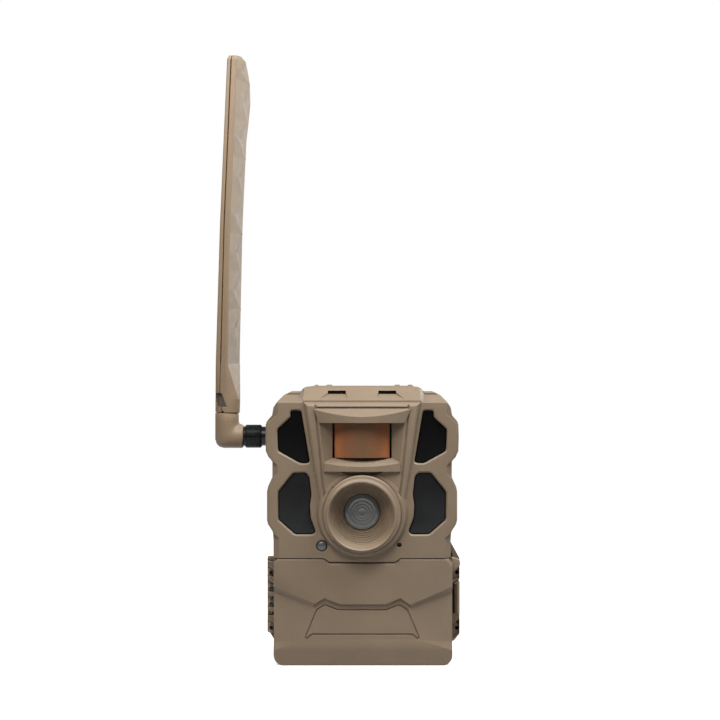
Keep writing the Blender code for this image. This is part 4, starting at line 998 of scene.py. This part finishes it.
NEAR_EDGE = -0.0058
FAR_EDGE = [(0.0085, 0.0175), (0.0200, 0.0192), (0.1000, 0.0198), (0.1380, 0.0202),
            (0.1530, 0.0232), (0.1610, 0.0238), (0.1691, 0.0207), (0.1774, 0.0142),
            (BLADE_LENGTH, 0.0125)]
MIDDLE = [(0.0085, -0.0018), (0.0300, -0.0021), (0.0950, -0.0027), (BLADE_LENGTH, -0.0018)]
HALF = [(0.0085, 0.0033), (0.0300, 0.0031), (0.0950, 0.0027), (BLADE_LENGTH, 0.0027)]
SEAM_FOOT, SEAM_BEND = -0.0004, 0.0105
COLLAR_TOP = 0.0240                            # where the round foot has turned into the paddle
BLADE_LEVELS = [COLLAR_TOP + 0.0095 * i for i in range(16)] + [0.1720, 0.1767, BLADE_LENGTH]
RIDGE_SHARE = (0.18, 0.74, 0.34, 0.84)         # how far across the wide face the zigzag ridge runs
RIDGE_RISE = 0.0008


def along(points, height):
    """Straight-line value at a height between listed (height, value) points."""
    for (low, first), (high, second) in zip(points, points[1:]):
        if height <= high:
            return first + (second - first) * max(0.0, height - low) / (high - low)
    return points[-1][1]


def seam_at(z):
    return along(MIDDLE, z) + 2 * along(HALF, z) * (SEAM_SHARE - 0.5)


def blade_half_rings(sign):
    """Sections of one half from collar to tip, with a zigzag ridge on the wide face."""
    rings = []
    for i, z in enumerate(BLADE_LEVELS):
        width, tip = along(FAR_EDGE, z), 0.0010 if z == BLADE_LENGTH else 0.0
        near, far = NEAR_EDGE + tip, NEAR_EDGE + width - tip
        zig = RIDGE_SHARE[i % 4]
        ridge = RIDGE_RISE * min(1.0, i / 2) if sign > 0 else 0.0
        inner = seam_at(z) + sign * GAP / 2
        outer = along(MIDDLE, z) + sign * (along(HALF, z) - tip * 0.6)
        rings.append([(inner, near + 0.0004, z), (inner + sign * 0.0003, near, z),
                      (outer - sign * 0.0006, near, z), (outer, near + 0.0006, z),
                      (outer + sign * ridge, near + width * zig, z),
                      (outer - sign * 0.0001, near + width * (0.5 + zig / 2), z),
                      (outer - sign * 0.0002, far - 0.0010, z),
                      (outer - sign * 0.0012, far, z), (inner + sign * 0.0003, far, z),
                      (inner, far - 0.0004, z)])
    return rings


def make_collar(sign):
    """The round foot, tapering into the paddle and parted along the same seam."""
    circle = [2 * math.pi * i / 64 for i in range(64)]
    points = [(r * math.cos(a), r * math.sin(a), z) for a in circle
              for r, z in ((0.0058, 0.0006), (0.0061, 0.0009), (0.0061, 0.0075))]
    top = COLLAR_TOP + 0.0010
    left, right = along(MIDDLE, top) - along(HALF, top), along(MIDDLE, top) + along(HALF, top)
    far = NEAR_EDGE + along(FAR_EDGE, top)
    points += [(x, y, top) for x in (left + 0.0006, right - 0.0006) for y in (NEAR_EDGE, far)]
    points += [(x, y, top) for x in (left, right) for y in (NEAR_EDGE + 0.0006, far - 0.0010)]
    collar = hull("collar", points)
    shift = sign * GAP / 2
    seam = [(seam_at(0.04) + shift, 0.0400), (seam_at(0.02) + shift, 0.0200),
            (seam_at(0.0) + shift, SEAM_BEND), (SEAM_FOOT + shift, -0.0020)]
    away = slab("other_half", seam + [(-sign * 0.02, -0.0020), (-sign * 0.02, 0.0400)], -0.04, 0.04)
    notch = block("notch", (SEAM_FOOT - 0.0006, -0.0080, -0.0010),
                  (SEAM_FOOT + 0.0006, -0.0045, 0.0016))
    bore = rod("spigot_way", 0.0047, -0.0010, 0.0034, steps=48)
    return cut(collar, away, notch, bore)


PATCH_OUT = (-0.42, -0.907)                    # across and along: where the thumb patch faces
RECESS_FLOOR = 0.0046                          # its distance from the axis of the foot
INLAY = (0.0042, 0.00472)                      # the grey inlay stands a little above that floor


def thumb_patch(name, low, high, half="both"):
    """A slanted four-sided patch on the front left of the round foot, between two depths."""
    points = []
    for z, left, right in ((0.0104, -0.0043, 0.0014), (0.0036, -0.0018, 0.0040)):
        seam = (seam_at(z) + 0.0019) / -PATCH_OUT[1]
        if half == "left":
            right = seam - 0.0002
        elif half == "right":
            left = seam + 0.0002
        for u in (left, right):
            points += [(-PATCH_OUT[1] * u + PATCH_OUT[0] * deep,
                        PATCH_OUT[0] * u + PATCH_OUT[1] * deep, z)
                       for deep in (low, high)]
    return hull(name, points)


def make_thumb_inlay():
    # the grey inlay's dark tone also paints the shade of its recess
    patch = thumb_patch("thumb_inlay", *INLAY, "left")
    join(patch, thumb_patch("inlay_right", *INLAY, "right"))
    settle(patch)
    patch.data.transform(blade_matrix())
    ride_with(patch, "antenna_blade_left", "inlay_grey_shaded")


def make_blade():
    """Two half shells with facetted faces, parted by a seam along the narrow edges."""
    for side, sign in (("left", -1), ("right", 1)):
        blade = loft("blade_" + side, blade_half_rings(sign))
        join(blade, make_collar(sign))
        cut(blade, thumb_patch("thumb_recess", RECESS_FLOOR, 0.0110))
        settle(blade, 3.0)
        blade.data.transform(blade_matrix())
        stand_for(blade, "antenna_blade_" + side)
    make_thumb_inlay()
    section = ((-0.0004, -0.0036), (0.0004, -0.0036), (0.0004, 0.0036), (-0.0004, 0.0036))
    strip = loft("strip", [[(seam_at(z) + x, y, z) for x, y in section]
                           for z in (0.0270, 0.0600, 0.0950, 0.1480)])
    strip.data.transform(blade_matrix())
    stand_for(settle(strip), "antenna_element")


def elbow_ring(angle, radius, centre_x):
    """Oval section of the mitred corner on a plane fanned about its inner fillet."""
    fillet, corner = 0.0016, 0.0046
    pivot = (centre_x + radius + fillet, ANTENNA_Z + radius + fillet)
    left, low = centre_x - radius, ANTENNA_Z - radius
    toward = (-math.sin(angle), -math.cos(angle))
    reach = min((pivot[0] - left) / max(1e-9, math.sin(angle)),
                (pivot[1] - low) / max(1e-9, math.cos(angle)))
    hit = (pivot[0] + reach * toward[0], pivot[1] + reach * toward[1])
    if hit[0] < left + corner and hit[1] < low + corner:
        away = (pivot[0] - left - corner, pivot[1] - low - corner)
        along_ray = -(away[0] * toward[0] + away[1] * toward[1])
        reach = along_ray + math.sqrt(along_ray ** 2 - away[0] ** 2 - away[1] ** 2 + corner ** 2)
    middle, half = (reach + fillet) / 2, (reach - fillet) / 2
    ring = []
    for i in range(72):
        turn = 2 * math.pi * i / 72
        out = middle + half * math.cos(turn)
        ring.append((pivot[0] + toward[0] * out, radius * math.sin(turn),
                     pivot[1] + toward[1] * out))
    return ring


def make_elbow():
    """A mitred L with a rounded outer corner, a small fillet inside and a spigot at each end."""
    radius, arm_radius, centre_x, arm_end = 0.00590, 0.00555, -0.06745, -0.0593
    foot = blade_matrix().translation
    circle = [2 * math.pi * i / 72 for i in range(72)]

    def arm_ring(x, r):
        return [(x, r * math.sin(a), ANTENNA_Z - r * math.cos(a)) for a in circle]

    def seam_ring(share, drop):
        ring = []
        for a in circle:
            x = centre_x - radius * share * math.cos(a)
            ring.append((x, radius * share * math.sin(a),
                         foot.z - (x - foot.x) * math.tan(BLADE_LEAN) + drop))
        return ring

    rings = [arm_ring(arm_end + 0.0001, arm_radius - 0.0003),
             arm_ring(arm_end - 0.0002, arm_radius)]
    fan = (0, 12, 24, 34, 41, 45, 49, 56, 66, 78, 90)
    rings += [elbow_ring(math.radians(a), radius, centre_x) for a in fan]
    rings += [seam_ring(1.0, 0.0001), seam_ring(0.97, 0.0004)]
    elbow = loft("elbow", rings)
    spigot = rod("spigot", 0.0045, 0.1150, 0.1228, (centre_x + 0.0003, ANTENNA_Y), steps=48)
    stub = rod("stub", 0.0030, 0.0553, 0.0610, JACK, "left")
    join(elbow, spigot, stub)
    return stand_for(settle(elbow, 32), "antenna_elbow")


def make_hinge_pin():
    low, high = KNUCKLE_ENDS[0] - 0.0004, KNUCKLE_ENDS[-1] - 0.0004
    pin = turned("pin", [(0, high), (0.0006, high), (HINGE_PIN_R, high - 0.0002),
                         (HINGE_PIN_R, low + 0.0002), (0.0006, low), (0, low)], HINGE, "up", 32)
    stand_for(settle(pin), "hinge_pin", finish="nut_black")


def make_nut():
    """The knurled nut between two smooth necks, bored for the jack."""
    teeth = 52

    def star(x, deep, high):
        points = []
        for i in range(teeth):
            for share, radius in ((0.0, deep), (0.25, high), (0.55, high), (0.80, deep)):
                angle = 2 * math.pi * (i + share) / teeth
                points.append((x, ANTENNA_Y + radius * math.cos(angle),
                               ANTENNA_Z + radius * math.sin(angle)))
        return points

    nut = loft("nut", [star(*row) for row in (
        (-0.0583, 0.0051, 0.00515), (-0.0579, 0.0054, 0.00565), (-0.0577, 0.0054, 0.00575),
        (-0.0508, 0.0054, 0.00575), (-0.0505, 0.0054, 0.00565), (-0.0500, 0.0050, 0.00505))])
    neck = turned("neck", [(0, 0.0475), (0.0046, 0.0475), (0.0048, 0.0478), (0.0048, 0.0515),
                           (0.0048, 0.0575), (0.0050, 0.0578), (0.0050, 0.0588), (0.0047, 0.0590),
                           (0, 0.0590)], JACK, "left", 72)
    join(nut, neck)
    cut(nut, rod("nut_bore", 0.0033, 0.0460, 0.0600, JACK, "left"))
    return stand_for(settle(nut), "antenna_nut", finish="nut_black")


# ---- stage
def make_stage():
    """A pale round floor, just wide enough for the shadows, in a white surround."""
    floor = rod("floor", 0.60, -0.01, 0.0, steps=128)
    material, tree, shader, where = new_material("floor")
    mottled = ramp(tree, noise(tree, where, 6.0), [(0.3, grey(0.88)), (0.7, grey(0.90))])
    tree.links.new(mottled, shader.inputs["Base Color"])
    shader.inputs["Roughness"].default_value = 0.9
    shader.inputs["Specular IOR Level"].default_value = 0.1
    shader.inputs["Emission Color"].default_value = (*WHITE, 1.0)
    shader.inputs["Emission Strength"].default_value = 0.45
    floor.data.materials.append(material)
    floor.visible_diffuse = False


def add_softbox(name, place, aim, size, power, colour):
    light = bpy.data.lights.new(name, "AREA")
    light.shape = "RECTANGLE"
    light.size, light.size_y = size
    light.energy = power
    light.color = colour
    obj = add_object(name, light)
    obj.location = place
    obj.rotation_euler = (Vector(aim) - Vector(place)).to_track_quat("-Z", "Y").to_euler()
    obj.visible_camera = False


def make_lights():
    """A near softbox above the front, weak fills and a white surround that lights only softly."""
    world = bpy.data.worlds.new("studio")
    bpy.context.scene.world = world
    world.use_nodes = True
    tree = world.node_tree
    rays = tree.nodes.new("ShaderNodeLightPath")
    tree.links.new(spread(tree, rays.outputs["Is Camera Ray"], 0.22, 1.0, 0.0, 1.0),
                   tree.nodes["Background"].inputs["Strength"])
    tree.nodes["Background"].inputs["Color"].default_value = (*WHITE, 1.0)
    rows = (
        ("key_light", (-0.12, -0.42, 0.62), (-0.03, 0.0, 0.18), (0.40, 0.30), 3.5,
         (1.0, 0.985, 0.96)),
        ("side_light", (0.25, -0.16, 0.58), (-0.065, 0.0, 0.20), (0.22, 0.22), 3.6,
         (0.88, 0.96, 1.0)),
        ("rim_light", (0.32, 0.44, 0.32), (-0.065, 0.0, 0.20), (0.35, 0.50), 1.5,
         (0.90, 0.96, 1.0)),
        ("top_light", (0.0, 0.10, 1.00), (0.0, 0.0, 0.0), (1.30, 1.10), 1.3, WHITE),
        ("tip_light", (-0.19, -0.15, 0.37), (-0.064, 0.0, 0.27), (0.10, 0.10), 0.35, WHITE),
        ("back_light", (-0.50, 0.85, 0.60), (0.0, 0.0, 0.12), (0.50, 0.50), 2.0, WHITE))
    for row in rows:
        add_softbox(*row)


def make_camera():
    camera = bpy.data.cameras.new("camera")
    camera.lens = 85.4
    camera.sensor_width = 36.0
    obj = add_object("camera", camera)
    obj.location = (-0.001, FACE_Y - 0.820, 0.147)
    obj.rotation_euler = (math.pi / 2, 0, 0)
    bpy.context.scene.camera = obj


dress_nodes()
make_bezel()
make_door()
make_shell()
make_lever()
make_lens_group()
make_windows()
make_status_light()
make_motion_lens()
make_blade()
make_elbow()
make_nut()
make_hinge_pin()
make_stage()
make_lights()
make_camera()
remove_tools()
bpy.context.scene.view_settings.view_transform = "Standard"
